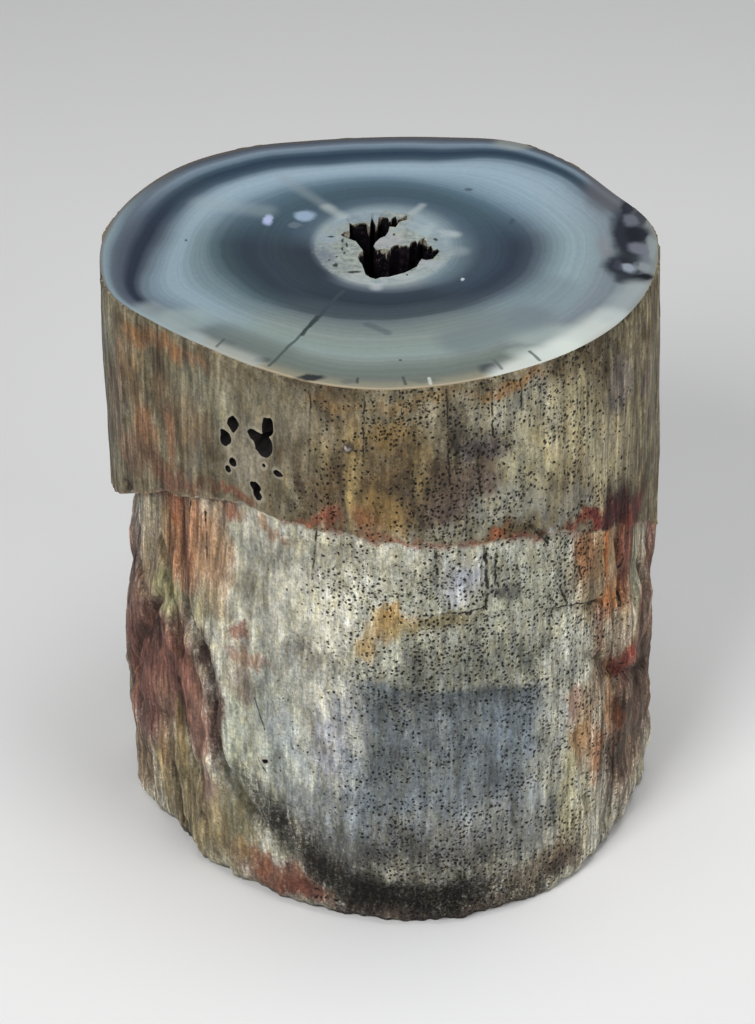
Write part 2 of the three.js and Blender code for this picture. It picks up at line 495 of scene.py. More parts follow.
# %% [markdown]
# ### Its walls
# The cutter is a grid again: each row is the mouth's outline, resampled finely and drawn in
# towards the middle, straight down at first and then narrowing to a rounded bottom. Drusy
# quartz, a crust of small crystals, covers the wall. A crystal crust is all points and
# hollows, which the distance to scattered seeds gives cheaply.

# %% Cut the cavity
CAVITY_DEPTH = 56.0
# Share of the mouth's width that is left at the waist, and between which shares of the depth
# the wall draws in to it.
CAVITY_WAIST = 0.5
CAVITY_DRAWN_IN = (0.12, 0.9)
BOTTOM_ROUNDING = 8
OUTLINE_STEP = 0.7
LEVEL_STEP = 2.6
# Spacing and height of the crystals, and how far down they reach their full height, in mm.
CRYSTAL_SIZE = 2.4
CRYSTAL_HEIGHT = 0.9
CRYSTALS_FROM = 3


def resampled(outline, step):
    """Points about a step apart along a closed outline."""
    points = []
    for start, end in zip(outline, outline[1:] + outline[:1]):
        start, end = Vector(start), Vector(end)
        count = max(1, round((end - start).length / step))
        points += [start.lerp(end, i / count) for i in range(count)]
    return points


def cavity_shape():
    """The empty space of the cavity as one closed shape, from just above the top to its bottom."""
    bm = bmesh.new()
    mouth = resampled(MOUTH_OUTLINE, OUTLINE_STEP)
    depths = [-1, 0, *np.arange(LEVEL_STEP, CAVITY_DEPTH, LEVEL_STEP), CAVITY_DEPTH]
    bmesh.ops.create_grid(bm, x_segments=len(mouth), y_segments=len(depths) - 1, size=1.0)
    middle = Vector(CAVITY_MIDDLE)
    for vert in bm.verts:
        start = mouth[round((vert.co.x + 1) / 2 * len(mouth)) % len(mouth)]
        depth = depths[round((vert.co.y + 1) / 2 * (len(depths) - 1))]
        share = max(depth, 0) / CAVITY_DEPTH
        drawn_in = (1 - CAVITY_WAIST) * float(ramp(share, *CAVITY_DRAWN_IN))
        kept = (1 - drawn_in) * math.sqrt(1 - share**BOTTOM_ROUNDING)
        place = middle.lerp(start, kept)
        near = noise.voronoi(Vector((*place, depth)) / CRYSTAL_SIZE)[0]
        push = CRYSTAL_HEIGHT * (near[1] - near[0]) * min(1, max(depth, 0) / CRYSTALS_FROM) * kept
        place -= (start - middle).normalized() * push
        vert.co = (AXIS[0] + place.x, AXIS[1] + place.y, HEIGHT - depth)
    bmesh.ops.remove_doubles(bm, verts=bm.verts, dist=WELD)
    bmesh.ops.edgeloop_fill(bm, edges=[edge for edge in bm.edges if edge.is_boundary])
    return bm


cut_out(cavity_shape(), "cavity")

# %% [markdown]
# ## Borings
# Wood-boring insects left a cluster of galleries high on the left of the front. The cutters
# are icospheres, stretched inwards and roughened. Some run into each other, so they are
# joined by a voxel remesh before they are cut out.

# %% Cut the borings
# Angle in degrees, then height of the mouth, half its width, half its height and depth in mm.
BORINGS = [
    (-35.6, 187.4, 2.0, 2.8, 10), (-37.8, 181.2, 2.4, 3.2, 11), (-29.2, 186.4, 3.6, 2.2, 12),
    (-26.9, 183.8, 3.3, 4.0, 12), (-25.8, 190.6, 1.9, 3.6, 9), (-35.6, 173.6, 1.5, 1.7, 7),
    (-37.2, 170.2, 1.3, 1.2, 6), (-29.2, 167.8, 2.1, 1.9, 8), (-28.6, 164.8, 1.8, 1.8, 8),
    (-23.2, 175.2, 1.7, 1.3, 6), (-26.8, 176.6, 0.6, 0.7, 3), (-28.0, 60.0, 1.1, 0.9, 4),
]
BORING_VOXEL = 0.4
BORING_ROUGHNESS = 0.34
BORING_LUMPS = 0.9


def boring_shapes():
    """Roughened, stretched icospheres, sunk into the side at the borings."""
    bm = bmesh.new()
    for angle, height, half_width, half_height, depth in BORINGS:
        turn = math.radians(angle - 90)
        share = height / HEIGHT
        reach = float(foot_radius(turn) * (1 - share) + top_radius(turn) * share + BULGE)
        made = bmesh.ops.create_icosphere(bm, subdivisions=3, radius=1.0)["verts"]
        for vert in made:
            at = vert.co * BORING_LUMPS + Vector((angle, height, 0))
            vert.co *= 1 + BORING_ROUGHNESS * noise.fractal(at, 1, 2, 3)
        bmesh.ops.scale(bm, verts=made, vec=(depth, half_width, half_height))
        bmesh.ops.rotate(bm, verts=made, matrix=Matrix.Rotation(turn, 3, "Z"))
        place = Vector((AXIS[0] + reach * math.cos(turn), AXIS[1] + reach * math.sin(turn), height))
        bmesh.ops.translate(bm, verts=made, vec=place)
    return bm


cut_out(boring_shapes(), "boring", voxel=BORING_VOXEL)
print("regions:", [material.name for material in log.data.materials])

# %% [markdown]
# ## Materials
# Every pattern here is procedural. One helper adds a node with its settings and links, and
# gives back an output. Colours are written as sRGB hex values and turned to linear by one
# function. The Object coordinates are turned to millimetres from the log's axis, so that each
# pattern has its real size. All of the log is quartz in one form or another, so every shader
# bends light as quartz does.

# %% Helpers for materials
QUARTZ_IOR = 1.54


def linear(colour):
    """An sRGB hex colour as linear red, green, blue and alpha."""
    parts = [int(colour[i:i + 2], 16) / 255 for i in (1, 3, 5)]
    return [p / 12.92 if p <= 0.04045 else ((p + 0.055) / 1.055) ** 2.4 for p in parts] + [1.0]


def add(tree, kind, inputs, out=0, stops=None, **settings):
    """Adds a shader node and gives back an output. Inputs are links, hex colours or values."""
    node = tree.nodes.new("ShaderNode" + kind)
    for name, value in settings.items():
        setattr(node, name, value)
    for place, value in inputs.items():
        if isinstance(value, bpy.types.NodeSocket):
            tree.links.new(value, node.inputs[place])
        else:
            node.inputs[place].default_value = linear(value) if isinstance(value, str) else value
    if stops:
        elements = node.color_ramp.elements
        while len(elements) < len(stops):
            elements.new(0.5)
        for element, (position, colour) in zip(elements, stops):
            element.position = position
            element.color = linear(colour)
    return node.outputs[out]


def start_material(region, name):
    """A region's material, its node tree, its shader and the place in mm from the log's axis."""
    material = log.data.materials[region]
    material.name = name
    material.use_nodes = True
    tree = material.node_tree
    place = add(tree, "TexCoord", {}, out="Object")
    place = add(tree, "VectorMath", {0: place, 1: (1 / MM,) * 3, 2: (-AXIS[0], -AXIS[1], 0)},
                operation="MULTIPLY_ADD")
    shader = tree.nodes["Principled BSDF"]
    shader.inputs["IOR"].default_value = QUARTZ_IOR
    return material, tree, shader, place


def report(material):
    """Says how large a finished material is."""
    print(material.name, "nodes:", len(material.node_tree.nodes))


print("mid grey as a linear value:", round(linear("#808080")[0], 3))

# %% [markdown]
# ### Patterns made of several nodes
# Stains, bruises and crystals are patches, and cracks are strokes. A painted map would hold
# them too, but it would blur close up and couldn't be read or changed. Here each is a short
# row of numbers, and noise warps the places that are looked up, so no oval or straight line
# stays perfect. A smooth step already stays between its ends, so Clamp is off on it: a clamp
# is a node of its own inside Cycles, and hundreds of them overflow a shader.

# %% Patches and strokes
def patches(tree, where, colour, marks, soft=0.5):
    """Lays oval patches over a colour: middle, half sizes, hex colour and strength.

    The third coordinate of where counts as a distance too, so noise there breaks a patch up
    into grains that thin out towards its edge.
    """
    for (x, y), (half_x, half_y), patch_colour, strength in marks:
        away = add(tree, "VectorMath", {
            0: where, 1: (1 / half_x, 1 / half_y, 1), 2: (-x / half_x, -y / half_y, 0),
        }, operation="MULTIPLY_ADD")
        away = add(tree, "VectorMath", {0: away}, out="Value", operation="LENGTH")
        share = add(tree, "MapRange", {0: away, 1: 1 + soft / 2, 2: 1 - soft, 3: 0.0, 4: strength},
                    interpolation_type="SMOOTHSTEP", clamp=False)
        colour = add(tree, "Mix", {0: share, 6: colour, 7: patch_colour}, out=2, data_type="RGBA")
    return colour


def stroke(tree, where, start, end, width, soft):
    """How much a point is on a straight line from start to end: 1 on it, 0 past its soft edge."""
    start, end = Vector((*start, 0)), Vector((*end, 0))
    way = end - start
    offset = add(tree, "VectorMath", {0: where, 1: start}, operation="SUBTRACT")
    along = add(tree, "VectorMath", {0: offset, 1: way / way.length_squared}, out="Value",
                operation="DOT_PRODUCT")
    along = add(tree, "Clamp", {0: along})
    nearest = add(tree, "VectorMath", {0: way, "Scale": along}, operation="SCALE")
    away = add(tree, "VectorMath", {0: offset, 1: nearest}, out="Value", operation="DISTANCE")
    return add(tree, "MapRange", {0: away, 1: width / 2 + soft, 2: width / 2, 3: 0.0, 4: 1.0},
               interpolation_type="SMOOTHSTEP", clamp=False)


def strokes(tree, where, colour, lines):
    """Draws lines over a colour: start, end, width, softness, hex colour and strength."""
    for start, end, width, soft, line_colour, strength in lines:
        line = stroke(tree, where, start, end, width, soft)
        line = add(tree, "Math", {0: line, 1: strength}, operation="MULTIPLY")
        colour = add(tree, "Mix", {0: line, 6: colour, 7: line_colour}, out=2, data_type="RGBA")
    return colour


def warped(tree, where, place, sizes, reach):
    """Shifts flat coordinates about, so that straight edges and ovals turn natural."""
    for size, (reach_x, reach_y) in zip(sizes, reach):
        shift = add(tree, "TexNoise", {"Vector": place, "Scale": 1 / size, "Detail": 3.0}, out="Color")
        where = add(tree, "VectorMath", {0: shift, 1: (2 * reach_x, 2 * reach_y, 0), 2: where},
                    operation="MULTIPLY_ADD")
        where = add(tree, "VectorMath", {0: where, 1: (reach_x, reach_y, 0)}, operation="SUBTRACT")
    return add(tree, "VectorMath", {0: where, 1: (1, 1, 0)}, operation="MULTIPLY")


print("patterns:", [pattern.__name__ for pattern in (patches, stroke, strokes, warped)])

# %% [markdown]
# ## The weathered side
# Silicified wood seen from outside: quartz that took the place of each wood cell, so it keeps
# the fibre of the wood as fine upright streaks, stained by iron (rust, ochre and maroon) and
# by manganese and carbon (black). Above the fracture it is a warm grey-brown, and below it a
# pale cream with a slate-blue field. The stains are oval patches whose edges are broken up by
# noise. Their places are the angle from the front, made into mm round the log, and the height.

# %% Stains on the side
# Angle and height, half width in degrees and half height in mm, colour, strength.
LOWER_STAINS = [
    (-84, 66, 30, 64, "#7f6660", 0.95), (-66, 100, 16, 50, "#8f7a60", 0.7),
    (-54, 26, 24, 30, "#8d7f64", 0.8), (74, 60, 22, 66, "#84705e", 0.95),
    (96, 60, 20, 70, "#6d5a4d", 0.7), (62, 120, 16, 34, "#a89274", 0.7),
    (25, 122, 34, 40, "#a5a697", 0.9), (12, 105, 30, 12, "#86877c", 0.9),
    (20, 104, 22, 7, "#7f8176", 0.8), (24, 34, 24, 12, "#7c7a74", 0.85), (2, 36, 14, 8, "#6f6e6b", 0.7),
    (-28, 80, 11, 34, "#b2b6ab", 0.9), (-36, 64, 5, 30, "#c3c4b1", 0.8),
    (-12, 74, 7, 19, "#a9abb1", 0.9), (-7, 90, 8, 10, "#a3a6a7", 0.7),
    (-20, 104, 10, 10, "#a9a9a1", 0.7), (-17, 108, 3, 9, "#8f8a7a", 0.6),
    (3, 126, 7, 5, "#b18f57", 0.9), (13, 124, 13, 4, "#8f8462", 0.8), (-3, 118, 3, 7, "#ad905e", 0.8),
    (18, 138, 6, 10, "#b3b7c0", 0.85), (30, 128, 4, 3, "#3c3f40", 0.7),
    (34, 136, 6, 12, "#a9aa9c", 0.6), (-57, 130, 12, 25, "#ab7a58", 0.9),
    (-46, 130, 8, 20, "#c19a78", 0.85), (-62, 142, 6, 9, "#9b6448", 0.8),
    (-56, 122, 4, 10, "#6b4438", 0.8), (-66, 126, 3, 18, "#b5a07c", 0.7),
    (-50, 140, 3, 10, "#bb8560", 0.6), (-64, 106, 7, 9, "#a9a37a", 0.95),
    (-52, 106, 8, 6, "#918b71", 0.8), (-45, 112, 6, 7, "#9c8a6a", 0.7),
    (-36, 106, 4, 4, "#8d5a4c", 0.8), (-33, 98, 8, 4, "#a7806b", 0.7), (-35, 88, 5, 9, "#a18a7a", 0.6),
    (-60, 74, 17, 26, "#8b6358", 1.0), (-74, 62, 14, 34, "#734f46", 0.9),
    (-50, 62, 7, 18, "#987163", 0.9), (-46, 91, 4, 10, "#452a27", 0.9),
    (-43, 68, 3, 22, "#4d322c", 0.9), (-67, 90, 8, 5, "#54362e", 0.8), (-56, 82, 4, 8, "#9a6a58", 0.6),
    (-64, 60, 5, 9, "#8a6f5c", 0.5), (-52, 24, 21, 22, "#95886b", 1.0),
    (-62, 16, 2, 22, "#54463b", 0.8), (-66, 36, 3, 12, "#8b6b4d", 0.7),
    (-47, 38, 4, 10, "#a68c82", 0.8), (-57, 42, 3, 10, "#a99568", 0.7),
    (-80, 16, 8, 16, "#7d6a55", 0.8), (-24, 46, 8, 10, "#86887f", 0.8),
    (-13, 46, 12, 17, "#8b908f", 0.95), (-8, 34, 9, 13, "#777a79", 0.9),
    (-22, 62, 8, 13, "#a0a7a2", 0.7), (-5, 58, 5, 22, "#8b9195", 0.85),
    # The dark band low on the front at angle 8 and height 1, last on the next line, is painted shade under
    # the rounded foot.
    (-24, 74, 5, 12, "#a7adaf", 0.6), (-36, 30, 5, 12, "#8b8668", 0.7), (8, 1, 34, 8, "#4a3f39", 0.95),
    (-26, 10, 14, 11, "#7f5848", 0.95), (-18, 6, 9, 6, "#6c4034", 0.85),
    (-37, 17, 4, 6, "#a4865f", 0.7), (-31, 14, 4, 8, "#a06a50", 0.7), (28, 3, 12, 3, "#6a5c50", 0.6),
    (38, 13, 12, 12, "#756a5b", 0.9), (48, 22, 8, 14, "#857a66", 0.7), (46, 10, 8, 7, "#6a5546", 0.6),
    (57, 128, 12, 20, "#ab8c69", 0.9), (50, 134, 5, 10, "#a6734d", 0.8),
    (60, 107, 7, 8, "#b6723f", 0.85), (66, 122, 3, 22, "#7c4136", 0.85),
    (72, 106, 4, 20, "#aca88f", 0.9), (53, 112, 6, 9, "#9d8d70", 0.7), (47, 95, 7, 12, "#a9aaa0", 0.7),
    (48, 80, 4, 8, "#9d7b6b", 0.8), (56, 78, 7, 14, "#a48e75", 0.8), (64, 77, 8, 6, "#7b3b32", 0.9),
    (71, 69, 7, 5, "#74403a", 0.8), (50, 61, 4, 16, "#ad8253", 0.85), (55, 46, 4, 14, "#a26f48", 0.85),
    (47, 40, 2.6, 26, "#bdb896", 0.9), (69, 42, 14, 28, "#56483f", 0.95),
    (65, 57, 5, 8, "#41312e", 0.8), (82, 64, 12, 50, "#6f5b50", 0.8), (84, 108, 5, 18, "#7a4d40", 0.7),
    (108, 52, 16, 36, "#867b66", 0.9), (128, 62, 16, 22, "#6b6a66", 0.9),
    (118, 26, 14, 16, "#a0967a", 0.8), (150, 34, 20, 26, "#9b9078", 0.9),
    (172, 56, 16, 22, "#afab9a", 0.9), (-166, 34, 14, 30, "#8d6a52", 0.8),
    (-140, 70, 18, 36, "#a8a594", 0.9), (-122, 48, 13, 34, "#7b4f42", 0.9),
    (-104, 92, 11, 22, "#8c644a", 0.8), (-100, 34, 11, 24, "#8d8067", 0.8),
    (-150, 20, 18, 10, "#37322f", 0.7), (160, 12, 16, 7, "#3a3431", 0.6),
    (-75, 118, 2, 22, "#b8a98c", 0.7), (-70, 142, 2, 8, "#c9a284", 0.7),
    (-58, 138, 1.6, 18, "#6d3f30", 0.8), (-52, 128, 1.6, 16, "#c69270", 0.6),
    (-49, 100, 2, 10, "#c2b690", 0.7), (-66, 84, 2, 12, "#3f2522", 0.8),
    (-54, 66, 1.6, 14, "#a9705e", 0.7), (-58, 50, 2, 12, "#b59a6c", 0.7),
    (-50, 30, 1.6, 16, "#6d5a49", 0.7), (-68, 24, 2, 14, "#a8946e", 0.7),
    (-44, 24, 2, 12, "#b3a27c", 0.7), (-38, 64, 2.6, 28, "#c3c7b5", 0.8),
    (-78, 90, 2, 14, "#8f6a58", 0.7), (-82, 50, 2, 18, "#a0705f", 0.6),
    (-40, 150, 7, 4, "#a9694a", 0.8), (-26, 152, 5, 2.5, "#b08a70", 0.7),
    (-44, 146, 3, 6, "#cbb396", 0.6), (-34, 142, 4, 9, "#c9c9ba", 0.6),
    (58, 124, 1.4, 18, "#c77a44", 0.8), (62, 118, 1.2, 14, "#d6b48c", 0.7),
    (69, 122, 1.6, 16, "#5d2b24", 0.8), (74, 110, 1.6, 18, "#c7c2aa", 0.7),
    (56, 96, 1.6, 12, "#7c5648", 0.7), (60, 66, 2, 22, "#b98a62", 0.7),
    (64, 50, 1.6, 20, "#8a5a42", 0.7), (52, 30, 2, 18, "#d2cbae", 0.7), (72, 30, 2, 20, "#8d7a66", 0.7),
    (76, 90, 1.6, 16, "#8a4a3c", 0.7), (80, 40, 2, 26, "#4f423b", 0.6), (68, 90, 2, 8, "#b8b2a0", 0.6),
    (34, 84, 5, 12, "#9fa29c", 0.5), (44, 70, 3, 14, "#a8aaa3", 0.6), (-18, 62, 3, 16, "#c2c5be", 0.5),
]
UPPER_STAINS = [
    (-85, 175, 18, 44, "#777567", 0.9), (-67, 184, 4, 24, "#9a7c5a", 0.5),
    (-76, 172, 5, 17, "#6f5a4c", 0.6), (-64, 166, 5, 9, "#96684c", 0.6),
    (-61, 204, 9, 5, "#9c7350", 0.7), (-50, 203, 8, 4, "#93694c", 0.6),
    (-45, 192, 12, 12, "#8c8975", 0.7), (-52, 178, 9, 14, "#86745d", 0.7),
    (-54, 156, 12, 6, "#7d5645", 0.75), (-69, 156, 7, 9, "#77594a", 0.6),
    (-32, 178, 9, 17, "#8d8676", 0.8), (-20, 195, 8, 11, "#7c7463", 0.7),
    (-11, 172, 9, 13, "#5d4c38", 0.8), (4, 176, 14, 15, "#5a4930", 0.9),
    (12, 172, 12, 15, "#51473a", 0.85), (-6, 190, 9, 9, "#7b6a4c", 0.7),
    (-14, 190, 5, 10, "#8b8370", 0.6), (12, 200, 10, 6, "#8d8570", 0.7),
    (18, 166, 9, 12, "#6a625c", 0.7), (-6, 178, 2, 22, "#a28e63", 0.75), (3, 196, 6, 6, "#907648", 0.7),
    (0, 167, 6, 8, "#8f754a", 0.75), (14, 172, 4, 14, "#5f5146", 0.7), (22, 174, 4, 14, "#65574d", 0.7),
    (-28, 200, 12, 6, "#8b8570", 0.6), (30, 196, 13, 11, "#9a998a", 0.8),
    (34, 178, 10, 16, "#9c9880", 0.8), (28, 161, 15, 8, "#9c9b8c", 0.85),
    (12, 158, 12, 5, "#8e8b79", 0.7), (46, 184, 12, 20, "#b5ab8a", 0.9),
    (58, 168, 11, 20, "#b0a68a", 0.9), (62, 187, 5, 10, "#77706f", 0.7),
    (74, 181, 4, 6, "#5b4c50", 0.6), (86, 170, 12, 40, "#827b6a", 0.8),
    (17, 193, 3, 9, "#2f2b2a", 0.75), (21, 186, 5, 5, "#47424a", 0.65),
    (27, 183, 6, 4, "#5c5558", 0.55), (-6.6, 188, 1.7, 3.2, "#372f33", 0.85),
    (-6.9, 188, 0.7, 1.5, "#b8b2b0", 0.8), (30, 206, 9, 3, "#90693f", 0.7),
    (8, 206, 13, 3, "#8a7350", 0.6), (-10, 206, 6, 4, "#8d7350", 0.6), (-12, 162, 4, 4, "#945a42", 0.6),
    (-3, 163, 3, 4, "#8f5a3a", 0.6), (46, 153, 8, 5, "#8d8b80", 0.6), (60, 141, 10, 8, "#4c2124", 0.95),
    (69, 134, 7, 8, "#612c27", 0.9), (50, 146, 9, 3.5, "#7a3c30", 0.85),
    (106, 150, 14, 44, "#8b836f", 0.8), (128, 132, 12, 36, "#7b6650", 0.8),
    (146, 176, 13, 26, "#979379", 0.8), (163, 122, 6, 34, "#7d5d48", 0.5),
    (178, 160, 16, 40, "#908a75", 0.9), (-160, 126, 12, 34, "#7f6b55", 0.8),
    (-142, 178, 14, 26, "#8f8c78", 0.8), (-128, 132, 10, 26, "#98704f", 0.7),
    (-110, 170, 10, 36, "#8b7f6a", 0.8), (-102, 138, 8, 18, "#88604a", 0.8),
    (-36, 160, 9, 2.5, "#84503c", 0.7), (-16, 160, 8, 3.5, "#864c38", 0.7),
    (2, 158, 8, 2.5, "#84503a", 0.6), (24, 150, 6, 3, "#985a3c", 0.7),
    (40, 150, 3, 2.5, "#a9a9a4", 0.7), (52, 147, 5, 3, "#5d2b26", 0.85),
    (-72, 188, 1.6, 16, "#86684f", 0.6), (-80, 160, 2, 18, "#5e5145", 0.7),
    (-58, 190, 1.6, 12, "#98785c", 0.4), (-56, 170, 1.6, 10, "#9a6a4c", 0.6),
    (-48, 166, 3, 8, "#8f8878", 0.6), (-40, 196, 3, 8, "#a09a82", 0.6),
    (-14, 186, 3, 12, "#968763", 0.6), (8, 184, 2, 14, "#8b7a58", 0.6),
    (-18, 178, 1.2, 16, "#4c3f33", 0.6), (18, 168, 1.2, 14, "#4a3f38", 0.6),
    (40, 190, 2, 12, "#b0ac98", 0.6), (52, 176, 2, 14, "#a6a288", 0.6),
]
SLATE_STAINS = [
    (24, 94, 18, 6, "#40464a", 0.8), (4, 92, 12, 9, "#53585a", 0.7), (29, 74, 9, 14, "#7b8894", 0.8),
    (6, 70, 12, 12, "#5b6367", 0.6), (12, 50, 18, 9, "#7b848c", 0.7), (36, 52, 6, 16, "#969b9c", 0.7),
    (20, 82, 3, 8, "#596269", 0.5), (37, 82, 4, 12, "#777d80", 0.7), (28, 46, 10, 8, "#8b9194", 0.6),
    (20, 38, 24, 12, "#8b8e8c", 0.85), (39, 60, 5, 34, "#a3a69d", 0.85),
]
# Painted shade over the foot of the front: start and end as angle and height, width, softness, strength.
FOOT_SHADE = [
    (-12, 26, 22, 22, 6, 20, 0.55), (-34, 46, -25, 35, 3, 9, 0.8), (-25, 35, -14, 21, 5, 11, 0.9),
    (-14, 21, -2, 11, 6, 12, 0.95), (-2, 11, 20, 11, 5, 13, 0.95), (20, 11, 40, 6, 1, 11, 0.8),
]
# Dark hairline cracks: start and end as angle and height, then width in mm.
CRACKS = [
    (-14, 158, -14.6, 148, 0.5), (-14.6, 148, -15.2, 139, 0.5), (24, 149, 24.2, 128, 1.0),
    (26.6, 146, 26.2, 131, 0.7), (35, 153, 40, 144, 1.3), (41, 118, 48, 116, 0.7),
    (48, 116, 57, 109, 0.8), (12.6, 152, 13, 143, 1.0), (7.4, 184, 7.6, 166, 0.5),
    (15, 208, 15.4, 176, 0.35), (25, 209, 25.4, 190, 0.4), (32, 209, 32.6, 196, 0.4),
    (22, 184, 22.6, 170, 0.5), (-3, 208, -3.2, 184, 0.3), (-15, 206, -15.6, 176, 0.3),
    (10, 128, 24, 127.6, 0.5), (48, 130, 50, 120, 0.8), (43, 126, 44.5, 119, 0.7),
    (66, 130, 64.4, 100, 0.7), (-53, 150, -54, 134, 0.6), (-48, 146, -47, 128, 0.5),
    (-30, 60, -27.5, 55, 0.3), (-31, 84, -28, 73, 0.3),
]
print("stains on the side:", len(LOWER_STAINS) + len(UPPER_STAINS) + len(SLATE_STAINS))

# %% [markdown]
# ### Places and grain
# The side is unrolled to flat places, as a label is peeled off a tin, so that a stain keeps
# its size wherever it is. The grain is noise drawn out along the log: quartz fibres that took
# the shape of the wood's own.

# %% Places and grain on the side
def around_mm(stains):
    """Stains given by angle, as marks whose places and sizes are all in mm round the log."""
    return [((a * MM_PER_DEGREE, h), (w * MM_PER_DEGREE, t), c, s) for a, h, w, t, c, s in stains]


def unrolled(tree, place):
    """The way round the log in mm from the front, and flat places made of it and the height."""
    x, y, height = (add(tree, "SeparateXYZ", {0: place}, out=axis) for axis in "XYZ")
    behind = add(tree, "Math", {0: y, 1: -1.0}, operation="MULTIPLY")
    angle = add(tree, "Math", {0: x, 1: behind}, operation="ARCTAN2")
    around = add(tree, "Math", {0: angle, 1: math.degrees(1) * MM_PER_DEGREE}, operation="MULTIPLY")
    return around, add(tree, "CombineXYZ", {0: around, 1: height})


def grain_streaks(tree, place, around):
    """Streaks along the grain, the long ones alone, and how far long ones rule at a place.

    They are long where the outer wood split away and short elsewhere.
    """
    long_place = add(tree, "VectorMath", {0: place, 1: (1, 1, 0.07)}, operation="MULTIPLY")
    short_place = add(tree, "VectorMath", {0: place, 1: (1, 1, 0.28)}, operation="MULTIPLY")
    long_streaks = add(tree, "TexNoise", {
        "Vector": long_place, "Scale": 0.55, "Detail": 5.0, "Roughness": 0.7,
    })
    short_streaks = add(tree, "TexNoise", {
        "Vector": short_place, "Scale": 0.75, "Detail": 4.0, "Roughness": 0.7,
    })
    facing = add(tree, "Math", {0: around}, operation="ABSOLUTE")
    split = add(tree, "MapRange", {
        0: facing, 1: 34 * MM_PER_DEGREE, 2: 60 * MM_PER_DEGREE, 3: 0.25, 4: 0.9,
    })
    return add(tree, "Mix", {0: split, 2: short_streaks, 3: long_streaks}), long_streaks, split


print("length of a degree round the side, mm:", MM_PER_DEGREE)

# %% [markdown]
# ### Layers of the stone's colour
# Three layers go over the stains, each a function that takes a colour and gives one back: the
# slate-blue field, the iron that seeped out along the fracture, and the single grains of
# quartz, warm and cool, light and dark, together with painted shade in the hollows of the
# relief and painted light on its ridges. They could be one long chain of nodes, but a layer
# that stands alone can be read, moved or left out.

# %% Layers of the side
def with_slate_field(tree, colour, where, upright, loose):
    """Lays in the slate-blue field of the front: a crisp upper edge, a soft lower one."""
    edged = warped(tree, where, upright, (16, 6, 1.6), ((4.5, 4), (2.2, 2.0), (1.4, 1.6)))
    across, level = (add(tree, "SeparateXYZ", {0: edged}, out=axis) for axis in "XY")
    level = add(tree, "Math", {0: across, 1: 0.17, 2: level}, operation="MULTIPLY_ADD")
    field = 1.0
    edges = ((level, 105, 100), (level, 20, 56), (across, -14, -2), (across, 68, 54))
    for coordinate, start, full in edges:
        part = add(tree, "MapRange", {0: coordinate, 1: start, 2: full}, interpolation_type="SMOOTHSTEP")
        field = add(tree, "Math", {0: field, 1: part}, operation="MULTIPLY")
    slate = patches(tree, loose, linear("#687177"), around_mm(SLATE_STAINS), soft=0.7)
    field = add(tree, "Math", {0: field, 1: 0.92}, operation="MULTIPLY")
    return add(tree, "Mix", {0: field, 6: colour, 7: slate}, out=2, data_type="RGBA")


def with_seep(tree, colour, over, place):
    """Stains the edge of the fracture rust red, where iron seeped out along it."""
    seep = add(tree, "Math", {0: over, 1: 0.4}, operation="ADD")
    seep = add(tree, "Math", {0: seep}, operation="ABSOLUTE")
    seep = add(tree, "MapRange", {0: seep, 1: 2.4, 2: 0.4, 3: 0.0, 4: 1.0})
    patchy = add(tree, "TexNoise", {"Vector": place, "Scale": 0.09, "Detail": 5.0, "Roughness": 0.6})
    patchy = add(tree, "MapRange", {0: patchy, 1: 0.44, 2: 0.6, 3: 0.0, 4: 0.8})
    seep = add(tree, "Math", {0: seep, 1: patchy}, operation="MULTIPLY")
    return add(tree, "Mix", {0: seep, 6: colour, 7: "#7d3f2d"}, out=2, data_type="RGBA")


def with_stone_grains_and_hollow_shade(tree, colour, upright, patterns, long_streaks, split):
    """Sets warm and cool grains side by side, then makes them lighter and darker, with painted shade in
    the hollows and painted light on the ridges.
    """
    tint = add(tree, "TexNoise", {"Vector": upright, "Scale": 0.4, "Detail": 4.0, "Roughness": 0.7})
    tint = add(tree, "ValToRGB", {0: tint}, stops=[
        (0.3, "#b4bbc6"), (0.44, "#bcbdc0"), (0.56, "#c0bcae"), (0.7, "#c6b899"),
    ])
    colour = add(tree, "Mix", {0: 0.5, 6: colour, 7: tint}, out=2, data_type="RGBA", blend_type="OVERLAY")
    # Painted shade and light: the side's hollows are painted darker and its ridges lighter, as shade and
    # light fall on them.
    hollow_shade = add(tree, "Attribute", {}, out="Fac", attribute_name="hollow_shade")
    tone = add(tree, "MapRange", {0: hollow_shade, 1: -1.6, 2: 2.2, 3: 1.3, 4: 0.4})
    veins = add(tree, "MapRange", {0: long_streaks, 1: 0.36, 2: 0.64, 3: 0.55, 4: 1.4})
    veins = add(tree, "Mix", {0: split, 2: 1.0, 3: veins})
    tone = add(tree, "Math", {0: tone, 1: veins}, operation="MULTIPLY")
    for pattern, darkest, lightest in patterns:
        part = add(tree, "MapRange", {0: pattern, 1: 0.32, 2: 0.68, 3: darkest, 4: lightest})
        tone = add(tree, "Math", {0: tone, 1: part}, operation="MULTIPLY")
    tone = add(tree, "CombineColor", {0: tone, 1: tone, 2: tone})
    return add(tree, "Mix", {0: 1.0, 6: colour, 7: tone}, out=2, data_type="RGBA", blend_type="MULTIPLY")


print("stains in the slate field:", len(SLATE_STAINS))

# %% [markdown]
# ### Pits and cracks
# Fine pits dot the front, where soft cells of the wood dissolved. Cut one by one they would
# need millions of faces, so they are round cells of a Voronoi texture, painted near-black as
# the shade inside them, which the relief also reads. A crack is a chain of strokes.

